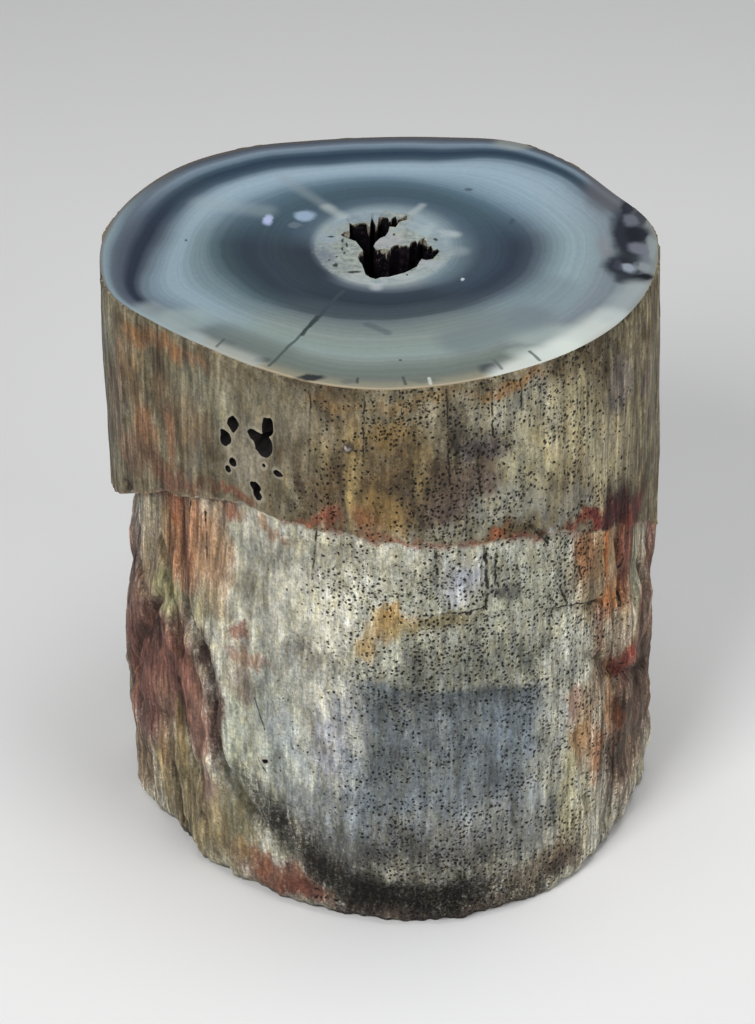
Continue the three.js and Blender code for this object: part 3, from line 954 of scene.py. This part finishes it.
# %% Pits and cracks on the side
def pits(tree, around, place, tight):
    """Pits: specks 0.4 to 1.2 mm across, dense at the front and missing on the left, as a mask of their
    painted shade.
    """
    left_edge = add(tree, "MapRange", {0: around, 1: -38 * MM_PER_DEGREE, 2: 4 * MM_PER_DEGREE})
    right_edge = add(tree, "MapRange", {0: around, 1: 84 * MM_PER_DEGREE, 2: 50 * MM_PER_DEGREE})
    dense = add(tree, "Math", {0: left_edge, 1: right_edge}, operation="MULTIPLY")
    clumps = add(tree, "TexNoise", {"Vector": place, "Scale": 0.07, "Detail": 3.0, "Roughness": 0.6})
    clumps = add(tree, "MapRange", {0: clumps, 1: 0.36, 2: 0.62, 3: 0.4, 4: 1.2})
    dense = add(tree, "Math", {0: dense, 1: clumps}, operation="MULTIPLY")
    pit_shade = 0.0
    for spacing, amount, largest, depth in ((1.9, 0.9, 0.27, 0.95), (1.3, 0.7, 0.29, 0.75)):
        cell = {"Vector": tight, "Scale": 1 / spacing}
        away = add(tree, "TexVoronoi", cell, out="Distance", voronoi_dimensions="2D")
        chance = add(tree, "SeparateColor", {0: away.node.outputs["Color"]})
        reach = add(tree, "Math", {0: dense, 1: amount}, operation="MULTIPLY")
        reach = add(tree, "Math", {0: reach, 1: chance}, operation="SUBTRACT")
        reach = add(tree, "MapRange", {0: reach, 1: 0.0, 2: 0.45, 3: 0.0, 4: largest})
        inside = add(tree, "Math", {0: reach, 1: away}, operation="SUBTRACT")
        inside = add(tree, "MapRange", {0: inside, 1: -0.04, 2: 0.1, 3: 0.0, 4: depth})
        pit_shade = add(tree, "Math", {0: pit_shade, 1: inside}, operation="MAXIMUM")
    return pit_shade


def cracks(tree, place, tight):
    """Dark hairline cracks, fainter here and there."""
    crack = 0.0
    for a0, h0, a1, h1, width in CRACKS:
        line = stroke(tree, tight, (a0 * MM_PER_DEGREE, h0), (a1 * MM_PER_DEGREE, h1), width * 0.6, 0.45)
        crack = add(tree, "Math", {0: crack, 1: line}, operation="MAXIMUM")
    broken = add(tree, "TexNoise", {"Vector": place, "Scale": 0.3, "Detail": 3.0})
    broken = add(tree, "MapRange", {0: broken, 1: 0.4, 2: 0.54, 3: 0.2, 4: 0.95})
    return add(tree, "Math", {0: crack, 1: broken}, operation="MULTIPLY")


print("cracks:", len(CRACKS))

# %% [markdown]
# ### The side's material
# The parts come together in the order in which they came about on the real log: the stone
# and its stains, the iron, the grains, then pits and cracks. The same patterns drive the
# relief and the gloss, so that a dark streak is also a groove.

# %% Material of the side
def side_material():
    """Weathered silicified wood: streaked, stained, pitted stone with a dull, grainy surface."""
    material, tree, shader, place = start_material("side", "weathered_silicified_wood")
    around, where = unrolled(tree, place)
    upright = add(tree, "VectorMath", {0: place, 1: (1, 1, 0.35)}, operation="MULTIPLY")
    loose = warped(tree, where, upright, (14, 4, 1.3), ((7, 11), (2.6, 5.0), (1.1, 2.4)))
    tight = warped(tree, where, place, (4, 1.2), ((0.9, 0.9), (0.35, 0.35)))
    streaks, long_streaks, split = grain_streaks(tree, place, around)
    mottle = add(tree, "TexNoise", {"Vector": upright, "Scale": 0.21, "Detail": 6.0, "Roughness": 0.66})
    grit = add(tree, "TexNoise", {"Vector": place, "Scale": 0.9, "Detail": 3.0, "Roughness": 0.8})
    clouds = add(tree, "TexNoise", {"Vector": place, "Scale": 0.05, "Detail": 4.0, "Roughness": 0.6})
    grains = add(tree, "Math", {0: streaks, 1: grit}, operation="ADD")
    grains = add(tree, "MapRange", {0: grains, 1: 0.8, 2: 1.3, 3: 0.0, 4: 0.7})
    grains = add(tree, "CombineXYZ", {2: grains})
    loose = add(tree, "VectorMath", {0: loose, 1: grains}, operation="ADD")

    # Pale stone below the fracture and grey-brown stone above it, each with its own stains.
    lower = add(tree, "ValToRGB", {0: clouds}, stops=[
        (0.32, "#a9a694"), (0.42, "#bfbdab"), (0.5, "#d6d4c5"), (0.58, "#c9c6b3"), (0.68, "#e0ddce"),
    ])
    upper = add(tree, "ValToRGB", {0: clouds}, stops=[
        (0.32, "#544836"), (0.42, "#6c614d"), (0.5, "#827a65"), (0.58, "#6f654f"), (0.68, "#969079"),
    ])
    lower = patches(tree, loose, lower, around_mm(LOWER_STAINS))
    upper = patches(tree, loose, upper, around_mm(UPPER_STAINS))
    lower = with_slate_field(tree, lower, where, upright, loose)

    # Painted shade darkens the foot of the front, near black, in a sweep that climbs to the left.
    grainy = add(tree, "VectorMath", {0: loose, 1: (1, 1, 12)}, operation="MULTIPLY")
    foot_shade_strokes = [
        ((a0 * MM_PER_DEGREE, h0), (a1 * MM_PER_DEGREE, h1), width, soft, "#1f1a18", strength)
        for a0, h0, a1, h1, width, soft, strength in FOOT_SHADE
    ]
    lower = strokes(tree, grainy, lower, foot_shade_strokes)
    over = add(tree, "Attribute", {}, out="Fac", attribute_name="above_fracture")
    shift = add(tree, "Math", {0: mottle, 1: 6.0, 2: -3.0}, operation="MULTIPLY_ADD")
    over = add(tree, "Math", {0: over, 1: shift}, operation="ADD")
    is_upper = add(tree, "MapRange", {0: over, 1: -0.5, 2: 0.9})
    colour = add(tree, "Mix", {0: is_upper, 6: lower, 7: upper}, out=2, data_type="RGBA")

    # Then what lies over the stains: iron, grains of stone with painted shade in the hollows and
    # painted light on the ridges, pits painted near-black as shade, cracks and the borings' rims.
    colour = with_seep(tree, colour, over, place)
    patterns = ((streaks, 0.64, 1.4), (mottle, 0.5, 1.54), (grit, 0.66, 1.36))
    colour = with_stone_grains_and_hollow_shade(tree, colour, upright, patterns, long_streaks, split)
    pit_shade = pits(tree, around, place, tight)
    # Painted shade: each pit is painted near-black, as the inside of a small hole looks.
    colour = add(tree, "Mix", {0: pit_shade, 6: colour, 7: "#12100e"}, out=2, data_type="RGBA")
    crack = cracks(tree, place, tight)
    colour = add(tree, "Mix", {0: crack, 6: colour, 7: "#221d1a"}, out=2, data_type="RGBA")
    rims = [((a * MM_PER_DEGREE, h), (w + 0.9, t + 1.0), "#b5ad98", 0.55) for a, h, w, t, _ in BORINGS]
    colour = patches(tree, tight, colour, rims, soft=0.3)
    tree.links.new(colour, shader.inputs["Base Color"])

    relief = 0.0
    for pattern, amount in ((streaks, 0.9), (mottle, 1.2), (grit, 0.5), (pit_shade, -0.5)):
        relief = add(tree, "Math", {0: pattern, 1: amount, 2: relief}, operation="MULTIPLY_ADD")
    normal = add(tree, "Bump", {"Strength": 0.9, "Distance": 1.3 * MM, "Height": relief})
    tree.links.new(normal, shader.inputs["Normal"])
    gloss = add(tree, "MapRange", {0: mottle, 1: 0.3, 2: 0.7, 3: 0.6, 4: 0.8})
    tree.links.new(gloss, shader.inputs["Roughness"])
    shader.inputs["Specular IOR Level"].default_value = 0.2
    return material


report(side_material())

# %% [markdown]
# ## The polished top
# Agate and chalcedony, lapped flat and polished. It is slightly see-through quartz in slate,
# grey and pale blue-grey bands. A polish on quartz is smooth but not a mirror. The bands are
# read from the ring number on the vertices: four colour ramps hold the bands towards the
# front, right, left and back, and they blend into each other round the log.

# %% Bands of the top
# Ring number and colour, from the edge of the druse out to the rim.
FRONT_BANDS = [
    (1, "#a2aaa9"), (1.4, "#7f8a8f"), (2, "#56616c"), (2.25, "#313c48"), (2.9, "#2a3640"),
    (3.3, "#3b464f"), (3.9, "#434f55"), (4.05, "#626e72"), (4.4, "#74817e"), (4.7, "#828e8a"),
    (5.1, "#85948f"), (5.35, "#899894"), (5.5, "#7e8985"), (5.7, "#707b76"), (6, "#69726d"),
    (6.5, "#6e746d"), (7.2, "#828372"), (8, "#8e8a79"), (8.45, "#b0a68e"), (9, "#8b795f"),
]
RIGHT_BANDS = [
    (1, "#98a6a9"), (1.4, "#72848d"), (2, "#5b6c76"), (2.4, "#3d4c59"), (2.8, "#364452"),
    (3.3, "#2c3746"), (3.7, "#3b4754"), (4, "#58656f"), (4.3, "#74868e"), (4.6, "#8a9ea5"),
    (5, "#8b9da4"), (5.25, "#84949b"), (5.5, "#7c8890"), (5.9, "#717c83"), (6.3, "#646d75"),
    (7, "#697076"), (8, "#798184"), (9, "#85867e"),
]
LEFT_BANDS = [
    (1, "#727c84"), (1.4, "#48525c"), (2.1, "#2c3541"), (2.6, "#303c45"), (3, "#323d49"),
    (3.3, "#2b3844"), (3.7, "#3d4d55"), (3.95, "#54676f"), (4.2, "#6a7c83"), (4.6, "#768a92"),
    (5, "#8a9eaa"), (5.3, "#8a9ea8"), (5.6, "#788b96"), (5.9, "#65747f"), (6.2, "#485260"),
    (6.5, "#242d3d"), (6.8, "#2a3241"), (7.1, "#474f5d"), (7.8, "#55606b"), (8.2, "#72838d"),
    (8.6, "#81929a"), (9, "#6d6a65"),
]
BACK_BANDS = [
    (1, "#91a1a9"), (1.6, "#71838c"), (2.1, "#4e606e"), (2.6, "#405562"), (3.1, "#435965"),
    (3.6, "#526977"), (4.05, "#738a9a"), (4.5, "#8aa1b0"), (5.1, "#98adbb"), (5.6, "#91a6b4"),
    (5.95, "#6e818f"), (6.15, "#455868"), (6.4, "#304353"), (6.7, "#26394c"), (7, "#3d5160"),
    (7.3, "#677989"), (7.7, "#798a99"), (8, "#606b77"), (8.4, "#4a5460"), (9, "#5a524a"),
]
print("colours in the bands:", sum(map(len, (FRONT_BANDS, RIGHT_BANDS, LEFT_BANDS, BACK_BANDS))))

# %% [markdown]
# ### Marks on the top
# The polish shows two pale lavender spots at the back on the left, and what the bark hid: dark
# manganese in loops at the right rim, a sealed crack that runs to the front, and specks in the
# druse. All of them go into the top's colour and not into its shape.

# %% Marks on the top
# Middle and half sizes in mm, colour, strength.
TOP_MARKS = [
    ((-36.2, 26), (1.9, 4.2), "#aeb9dc", 0.95), ((-24, 28.6), (3.6, 3.8), "#93a8bf", 0.95),
    ((-27, 22.4), (2.6, 2.2), "#6d7a84", 0.6), ((-62, 12.5), (0.7, 0.7), "#333b44", 0.8),
    ((26.5, -13), (0.7, 1.2), "#c9d3d6", 0.8), ((30, 47), (1.0, 1.2), "#3e4a55", 0.7),
    ((43.5, 25), (1.0, 2.0), "#3a4651", 0.6), ((47, 80), (8, 5), "#9fa59d", 0.5),
    ((76, 44), (8, 16), "#5d5d63", 0.7), ((80.5, 15), (5.2, 20), "#1a1d29", 0.95),
    ((82.4, 34), (2.6, 7), "#1a1c28", 0.9), ((84.6, 16), (4.6, 7), "#161a24", 0.95),
    ((86, 28), (2.0, 7), "#23262f", 0.8), ((78, -5), (6.6, 9.5), "#1d212b", 0.95),
    ((80, -13), (6, 3.6), "#2a2e37", 0.9), ((83.6, -12), (3.8, 2.6), "#10151b", 1.0),
    ((82.6, 25.6), (2.6, 4.8), "#666a75", 0.9), ((84.2, 6.6), (3.9, 4.4), "#6f737e", 0.9),
    ((79.8, -6), (2.6, 3.2), "#939da9", 0.9), ((85, -5), (3.2, 3.6), "#878f93", 0.9),
    ((77, -4), (1.6, 4.0), "#3b3e4b", 0.8), ((83.2, -3), (0.8, 2.4), "#4b535a", 0.6),
    ((74, 4), (2.2, 3), "#6f7378", 0.5), ((88.4, 8), (1.6, 9), "#8f9a9a", 0.7),
    ((72.6, 8), (2.4, 8), "#83848a", 0.5), ((-20, -72), (4.8, 2.0), "#23272c", 0.95),
    ((34, -67), (4.4, 3.0), "#3f474b", 0.85), ((-35, -62), (3.4, 2.0), "#3a4146", 0.9),
    ((-9, -74), (3.0, 1.4), "#5a6261", 0.6), ((14, -73.6), (5.0, 1.6), "#5f6866", 0.6),
    ((-46, -52), (2.6, 1.4), "#4b5453", 0.7), ((6.8, -62), (0.7, 0.7), "#2f3a38", 0.7),
    ((-60, -38), (10, 8), "#9fb0ad", 0.5), ((52, -48), (14, 8), "#a9b7b3", 0.55),
    ((48, -58), (9, 4), "#b7c2bb", 0.6),
]
# Start and end in mm, width and softness in mm, colour, strength.
TOP_LINES = [
    ((38, -70), (57, -54), 3.0, 6.0, "#d3dad4", 0.8), ((57, -54), (72, -36), 3.0, 7.0, "#d3dad4", 0.75),
    ((72, -36), (81, -18), 2.0, 6.0, "#aab5b6", 0.6), ((26, -50), (46, -37), 8.0, 8.0, "#6a757a", 0.6),
    ((46, -37), (56, -18), 6.0, 8.0, "#6f7c83", 0.5),
    ((-57, -49), (-38, -63), 2.0, 5.0, "#a9b1ad", 0.6),
    ((-72, -32), (-57, -49), 3.0, 6.0, "#9aa8aa", 0.6),
    ((-46, -46), (-30, -57), 5.0, 6.0, "#67736f", 0.5),
    ((-11, -20), (-21, -42), 0.7, 0.7, "#39434a", 0.9),
    ((-21, -42), (-32.5, -65), 0.5, 0.5, "#46504f", 0.85),
    ((-19, -36), (-23, -47), 0.9, 0.5, "#2e3838", 0.8),
    ((-32, 55), (-16, 34), 0.6, 3.6, "#8b989e", 0.4),
    ((-17, 35), (-12, 28.5), 0.3, 3.4, "#b4bebc", 0.5),
    ((-58, 38), (-38, 32), 2.0, 6.0, "#98a7ac", 0.35),
    ((-0.4, -14), (-0.6, -18.4), 0.6, 2.8, "#b3b8bc", 0.65),
    ((11, 30), (14.4, 36), 0.3, 2.2, "#a9b3b5", 0.6),
    ((20, 17), (24.6, 16.2), 1.0, 3.0, "#b4bfbf", 0.65), ((20, 5), (26, 5), 2.0, 4.0, "#8f9b9d", 0.55),
    ((-3, -41), (3, -46), 1.2, 1.6, "#46525c", 0.5), ((-6, -75), (-6, -72.5), 0.5, 0.4, "#3c4443", 0.8),
    ((8, -76), (7.4, -72), 0.6, 0.5, "#444c4b", 0.8),
    ((16, -76), (15.4, -72.5), 0.5, 0.5, "#c3c9c0", 0.8),
    ((46, -57), (49, -62), 0.5, 0.5, "#4f5957", 0.8), ((35, -62), (37, -67), 0.6, 0.5, "#59615f", 0.7),
    ((-47, -50), (-49, -54), 0.5, 0.5, "#4a5352", 0.7),
]
DRUSE_TINTS = [
    ((15.5, 21), (5.5, 7), "#9fb0b3", 0.9), ((3, 13), (6, 7), "#aaa8ad", 0.6),
    ((-9, 29), (13, 5.5), "#77868f", 0.95), ((6, -17), (18, 5), "#82929a", 0.95),
    ((17, -3), (5, 3), "#a8aab0", 0.8), ((22, 14), (5, 14), "#8898a0", 0.9),
    ((-15, 20), (6, 6), "#8f9b9b", 0.7), ((8, -11.5), (12, 1.6), "#aab6b4", 0.8),
    ((6, 20), (3, 5), "#a8ae9f", 0.7), ((-15, -1), (3, 6), "#9ba2a2", 0.6),
]
# Green-black specks in the pale druse beside the mouth.
DRUSE_SPECKS = [
    ((-13.6, -4), (0.9, 1.4)), ((-15.8, -1.2), (0.5, 0.6)), ((-7.4, -8.4), (2.3, 0.9)),
    ((-11.6, 11.8), (0.6, 2.0)), ((-10, 9), (0.5, 1.4)), ((-11.6, 7), (0.4, 1.4)),
    ((-10.8, 4), (0.4, 1.2)), ((5, 16.6), (0.6, 0.8)), ((18.6, 13), (0.9, 1.1)),
    ((9, -10.2), (0.4, 0.6)), ((-15, 14.6), (1.2, 0.6)), ((-13.4, 1), (0.5, 0.8)),
]
print("marks on the top:", len(TOP_MARKS) + len(TOP_LINES) + len(DRUSE_TINTS) + len(DRUSE_SPECKS))

# %% [markdown]
# ### The top's material
# Each band is a run of colours along the ring number, so it follows the curves laid down with
# the mesh. Rings of a Wave texture would be round and evenly spaced, and agate is neither.
# The druse round the mouth is rougher than the polish, and its crystals stand up a little.

# %% Material of the top
def agate_bands(tree, place, flat, ring):
    """Colour of the banded agate: four runs of bands, blended into each other round the log."""
    cloud = add(tree, "TexNoise", {"Vector": place, "Scale": 0.035, "Detail": 3.0})
    fine = add(tree, "TexNoise", {"Vector": place, "Scale": 0.5, "Detail": 4.0, "Roughness": 0.6})
    shift = add(tree, "Math", {0: cloud, 1: 0.36, 2: -0.18}, operation="MULTIPLY_ADD")
    wavy = add(tree, "Math", {0: ring, 1: shift}, operation="ADD")
    share = add(tree, "Math", {0: wavy, 1: float(LAST_RING)}, operation="DIVIDE")
    way = add(tree, "VectorMath", {0: flat}, operation="NORMALIZE")
    right, back = (add(tree, "SeparateXYZ", {0: way}, out=axis) for axis in "XY")
    colour = add(tree, "ValToRGB", {0: share}, stops=[(r / LAST_RING, c) for r, c in FRONT_BANDS])
    for bands, facing, start, full in (
        (RIGHT_BANDS, right, 0.5, 0.95), (LEFT_BANDS, right, -0.55, -0.93), (BACK_BANDS, back, 0.15, 0.75),
    ):
        other = add(tree, "ValToRGB", {0: share}, stops=[(r / LAST_RING, c) for r, c in bands])
        turn = add(tree, "MapRange", {0: facing, 1: start, 2: full}, interpolation_type="SMOOTHSTEP")
        colour = add(tree, "Mix", {0: turn, 6: colour, 7: other}, out=2, data_type="RGBA")

    # Hairline growth bands inside the broad ones, and a faint cloudiness.
    hairlines = add(tree, "TexNoise", {"W": wavy, "Scale": 9.0, "Detail": 3.0, "Roughness": 0.6},
                    noise_dimensions="1D")
    tone = add(tree, "MapRange", {0: hairlines, 1: 0.3, 2: 0.7, 3: 0.93, 4: 1.06})
    cloudy = add(tree, "MapRange", {0: fine, 1: 0.3, 2: 0.7, 3: 0.96, 4: 1.04})
    tone = add(tree, "Math", {0: tone, 1: cloudy}, operation="MULTIPLY")
    tone = add(tree, "CombineColor", {0: tone, 1: tone, 2: tone})
    return add(tree, "Mix", {0: 1.0, 6: colour, 7: tone}, out=2, data_type="RGBA", blend_type="MULTIPLY")


def druse(tree, place, where, ring):
    """Pale crystals from the mouth to ring 1: their colour, where they are and their lumps."""
    lumps = add(tree, "TexNoise", {"Vector": place, "Scale": 0.5, "Detail": 4.0, "Roughness": 0.6})
    pale = add(tree, "ValToRGB", {0: lumps}, stops=[
        (0.3, "#66716f"), (0.42, "#828b88"), (0.54, "#989f98"), (0.68, "#aab0a6"),
    ])
    pale = patches(tree, where, pale, DRUSE_TINTS)
    ragged = add(tree, "TexNoise", {"Vector": place, "Scale": 0.13, "Detail": 6.0, "Roughness": 0.65})
    broken = add(tree, "Math", {0: ragged, 1: 3.4, 2: -1.7}, operation="MULTIPLY_ADD")
    broken = add(tree, "Math", {0: broken, 1: ring}, operation="ADD")
    is_druse = add(tree, "MapRange", {0: broken, 1: 1.35, 2: 0.35}, interpolation_type="SMOOTHSTEP")
    return pale, is_druse, lumps


def top_material():
    """Banded agate, lapped and polished, with a pale crust of druse round the cavity."""
    material, tree, shader, place = start_material("top", "polished_banded_agate")
    ring = add(tree, "Attribute", {}, out="Fac", attribute_name="ring")
    flat = add(tree, "VectorMath", {0: place, 1: (1, 1, 0)}, operation="MULTIPLY")
    colour = agate_bands(tree, place, flat, ring)
    where = warped(tree, flat, place, (7, 1.6), ((1.8, 1.8), (0.4, 0.4)))
    straight = warped(tree, flat, place, (9,), ((0.9, 0.9),))
    colour = patches(tree, where, colour, TOP_MARKS)
    colour = strokes(tree, straight, colour, TOP_LINES)
    pale, is_druse, lumps = druse(tree, place, where, ring)
    colour = add(tree, "Mix", {0: is_druse, 6: colour, 7: pale}, out=2, data_type="RGBA")
    specks = [(middle, halves, "#2b3328", 0.95) for middle, halves in DRUSE_SPECKS]
    colour = patches(tree, where, colour, specks)
    tree.links.new(colour, shader.inputs["Base Color"])

    rough_top = add(tree, "MapRange", {0: is_druse, 1: 0.0, 2: 1.0, 3: 0.2, 4: 0.34})
    tree.links.new(rough_top, shader.inputs["Roughness"])
    bumps = add(tree, "Math", {0: lumps, 1: is_druse}, operation="MULTIPLY")
    normal = add(tree, "Bump", {"Strength": 0.4, "Distance": 0.5 * MM, "Height": bumps})
    tree.links.new(normal, shader.inputs["Normal"])
    return material


report(top_material())

# %% [markdown]
# ## The cavity and the foot
# The cavity's wall is drusy quartz. Below its mouth it is painted near-black as the shade of
# the deep hole, and it is pale only where the crystals reach the mouth. The foot is left as it
# was broken and roughly sawn, so it is plain, dull grey-brown stone.

# %% Cavity and foot
def cavity_material():
    """Drusy quartz, pale at the mouth and painted near-black below it as the shade of the deep hole."""
    material, tree, shader, place = start_material("cavity", "drusy_quartz_with_painted_shade")
    height = add(tree, "SeparateXYZ", {0: place}, out="Z")
    depth = add(tree, "Math", {0: HEIGHT, 1: height}, operation="SUBTRACT")
    teeth_place = add(tree, "VectorMath", {0: place, 1: (1, 1, 0.12)}, operation="MULTIPLY")
    teeth = add(tree, "TexNoise", {"Vector": teeth_place, "Scale": 0.5, "Detail": 3.0})
    hang = add(tree, "MapRange", {0: teeth, 1: 0.45, 2: 0.68, 3: 0.1, 4: 3.6})
    past = add(tree, "Math", {0: depth, 1: hang}, operation="SUBTRACT")
    # Painted shade: below the mouth and the hanging teeth the wall turns near-black, as the deep hole is
    # dark.
    shade_share = add(tree, "MapRange", {0: past, 1: -0.4, 2: 0.5})
    crust = add(tree, "TexVoronoi", {"Vector": place, "Scale": 0.6}, out="Color")
    crust = add(tree, "SeparateColor", {0: crust})
    shade_colour = add(tree, "ValToRGB", {0: crust}, stops=[(0.0, "#0d0b10"), (0.75, "#17131a"), (1.0, "#2a2024")])
    pale = add(tree, "ValToRGB", {0: crust}, stops=[(0.0, "#6b5f50"), (0.6, "#9c9888"), (1.0, "#b5b3a4")])
    colour = add(tree, "Mix", {0: shade_share, 6: pale, 7: shade_colour}, out=2, data_type="RGBA")
    tree.links.new(colour, shader.inputs["Base Color"])
    normal = add(tree, "Bump", {"Strength": 0.6, "Distance": 0.5 * MM, "Height": crust})
    tree.links.new(normal, shader.inputs["Normal"])
    shader.inputs["Roughness"].default_value = 0.35
    return material


def foot_material():
    """Rough-sawn petrified wood, left dull."""
    material, tree, shader, place = start_material("foot", "rough_sawn_stone")
    mottle = add(tree, "TexNoise", {"Vector": place, "Scale": 0.12, "Detail": 6.0, "Roughness": 0.65})
    colour = add(tree, "ValToRGB", {0: mottle}, stops=[
        (0.3, "#4d4843"), (0.45, "#6b655c"), (0.58, "#847c6e"), (0.72, "#9c9686"),
    ])
    tree.links.new(colour, shader.inputs["Base Color"])
    normal = add(tree, "Bump", {"Strength": 0.6, "Distance": 0.6 * MM, "Height": mottle})
    tree.links.new(normal, shader.inputs["Normal"])
    shader.inputs["Roughness"].default_value = 0.75
    return material


def boring_material():
    """Near-black inside the insect galleries: painted shade, as the inside of a deep hole looks."""
    material, tree, shader, place = start_material("boring", "boring_with_painted_shade")
    mottle = add(tree, "TexNoise", {"Vector": place, "Scale": 0.5, "Detail": 4.0})
    # Painted shade: the walls of the galleries are near-black.
    colour = add(tree, "ValToRGB", {0: mottle}, stops=[
        (0.35, "#0d0a0a"), (0.6, "#1b1413"), (0.75, "#2c211d"),
    ])
    tree.links.new(colour, shader.inputs["Base Color"])
    shader.inputs["Roughness"].default_value = 0.8
    return material


report(cavity_material())
report(foot_material())
report(boring_material())

# %% [markdown]
# ## Shading
# Weathered stone is soft all over, but the sawn rim, the fracture's lip and the crystals are
# crisp. Smooth shading hides the faces of the mesh, and an angle decides which edges stay
# sharp.

# %% Shade the log
SHARP_FROM = 38

log.data.shade_smooth()
log.data.set_sharp_from_angle(angle=math.radians(SHARP_FROM))
print("edges that stay sharp from, degrees:", SHARP_FROM)

# %% [markdown]
# ## Camera
# A 100 mm lens looks down on the log at 34.5 degrees from about a metre away, so that the
# polished top shows as an oval and the front of the side stands almost upright. A long lens
# keeps the sides of the log near to parallel. Everything in view stays sharp.

# %% Place the camera
LENS = 100
CAMERA_PITCH = 34.5
# In mm, counted from the log's axis and from the floor.
CAMERA_PLACE = (AXIS[0] - 0.16, AXIS[1] - 796.7, 659.2)


def placed(name, data, place, turn=(0, 0, 0)):
    """A new object in the scene at a place in mm."""
    thing = bpy.data.objects.new(name, data)
    thing.location = Vector(place) * MM
    thing.rotation_euler = turn
    bpy.context.scene.collection.objects.link(thing)
    return thing


camera_data = bpy.data.cameras.new("camera")
camera_data.lens = LENS
camera_turn = (math.radians(90 - CAMERA_PITCH), 0, 0)
bpy.context.scene.camera = placed("camera", camera_data, CAMERA_PLACE, camera_turn)
bpy.context.scene.view_settings.view_transform = "Standard"
print("camera distance, mm:", round(Vector(CAMERA_PLACE).length))

# %% [markdown]
# ## Light
# Soft studio light: a large key lamp up on the left of the camera models the relief, a weaker
# fill on the right opens the shadows, and one above lights the polished top evenly. The fill
# stands low, so it is kept out of mirror reflections, where it would hide the bands of the top
# from anyone looking across it. A dim grey world fills what is left. The Standard view keeps
# the colours as they were chosen.

# %% Place the lights
WORLD_COLOUR = (0.12, 0.122, 0.127, 1)
# Name, place in mm, power in watts, width in m, and whether polished faces mirror the lamp.
LAMPS = [
    ("key", (-700, -1100, 1300), 18, 0.6, True),
    ("fill", (1100, -900, 700), 8, 0.8, False),
    ("top", (100, 0, 1500), 9, 0.7, True),
]
LAMP_AIM = Vector((0, 0, 100))

for name, place, power, width, mirrored in LAMPS:
    lamp = bpy.data.lights.new(name, "AREA")
    lamp.energy = power
    lamp.size = width
    turn = (LAMP_AIM - Vector(place)).to_track_quat("-Z", "Y").to_euler()
    placed(name, lamp, place, turn).visible_glossy = mirrored
world = bpy.data.worlds.new("studio")
world.use_nodes = True
world.node_tree.nodes["Background"].inputs[0].default_value = WORLD_COLOUR
bpy.context.scene.world = world
print("lamps, watts:", sum(power for _, _, power, _, _ in LAMPS))

# %% [markdown]
# ## Floor
# A plain pale floor gives the log something to stand on and catches its soft shadow. It
# belongs to the picture and not to the log.

# %% Lay the floor
FLOOR_HALF = 4.0
FLOOR_DROP = 0.5

bm = bmesh.new()
bmesh.ops.create_grid(bm, size=FLOOR_HALF)
floor_mesh = bpy.data.meshes.new("floor")
bm.to_mesh(floor_mesh)
bm.free()
floor = placed("floor", floor_mesh, (0, 0, -FLOOR_DROP))
print("floor, m:", 2 * FLOOR_HALF)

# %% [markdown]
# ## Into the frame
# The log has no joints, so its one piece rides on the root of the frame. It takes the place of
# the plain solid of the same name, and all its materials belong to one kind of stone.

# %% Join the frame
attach(log, "root")
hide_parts("petrified_log")
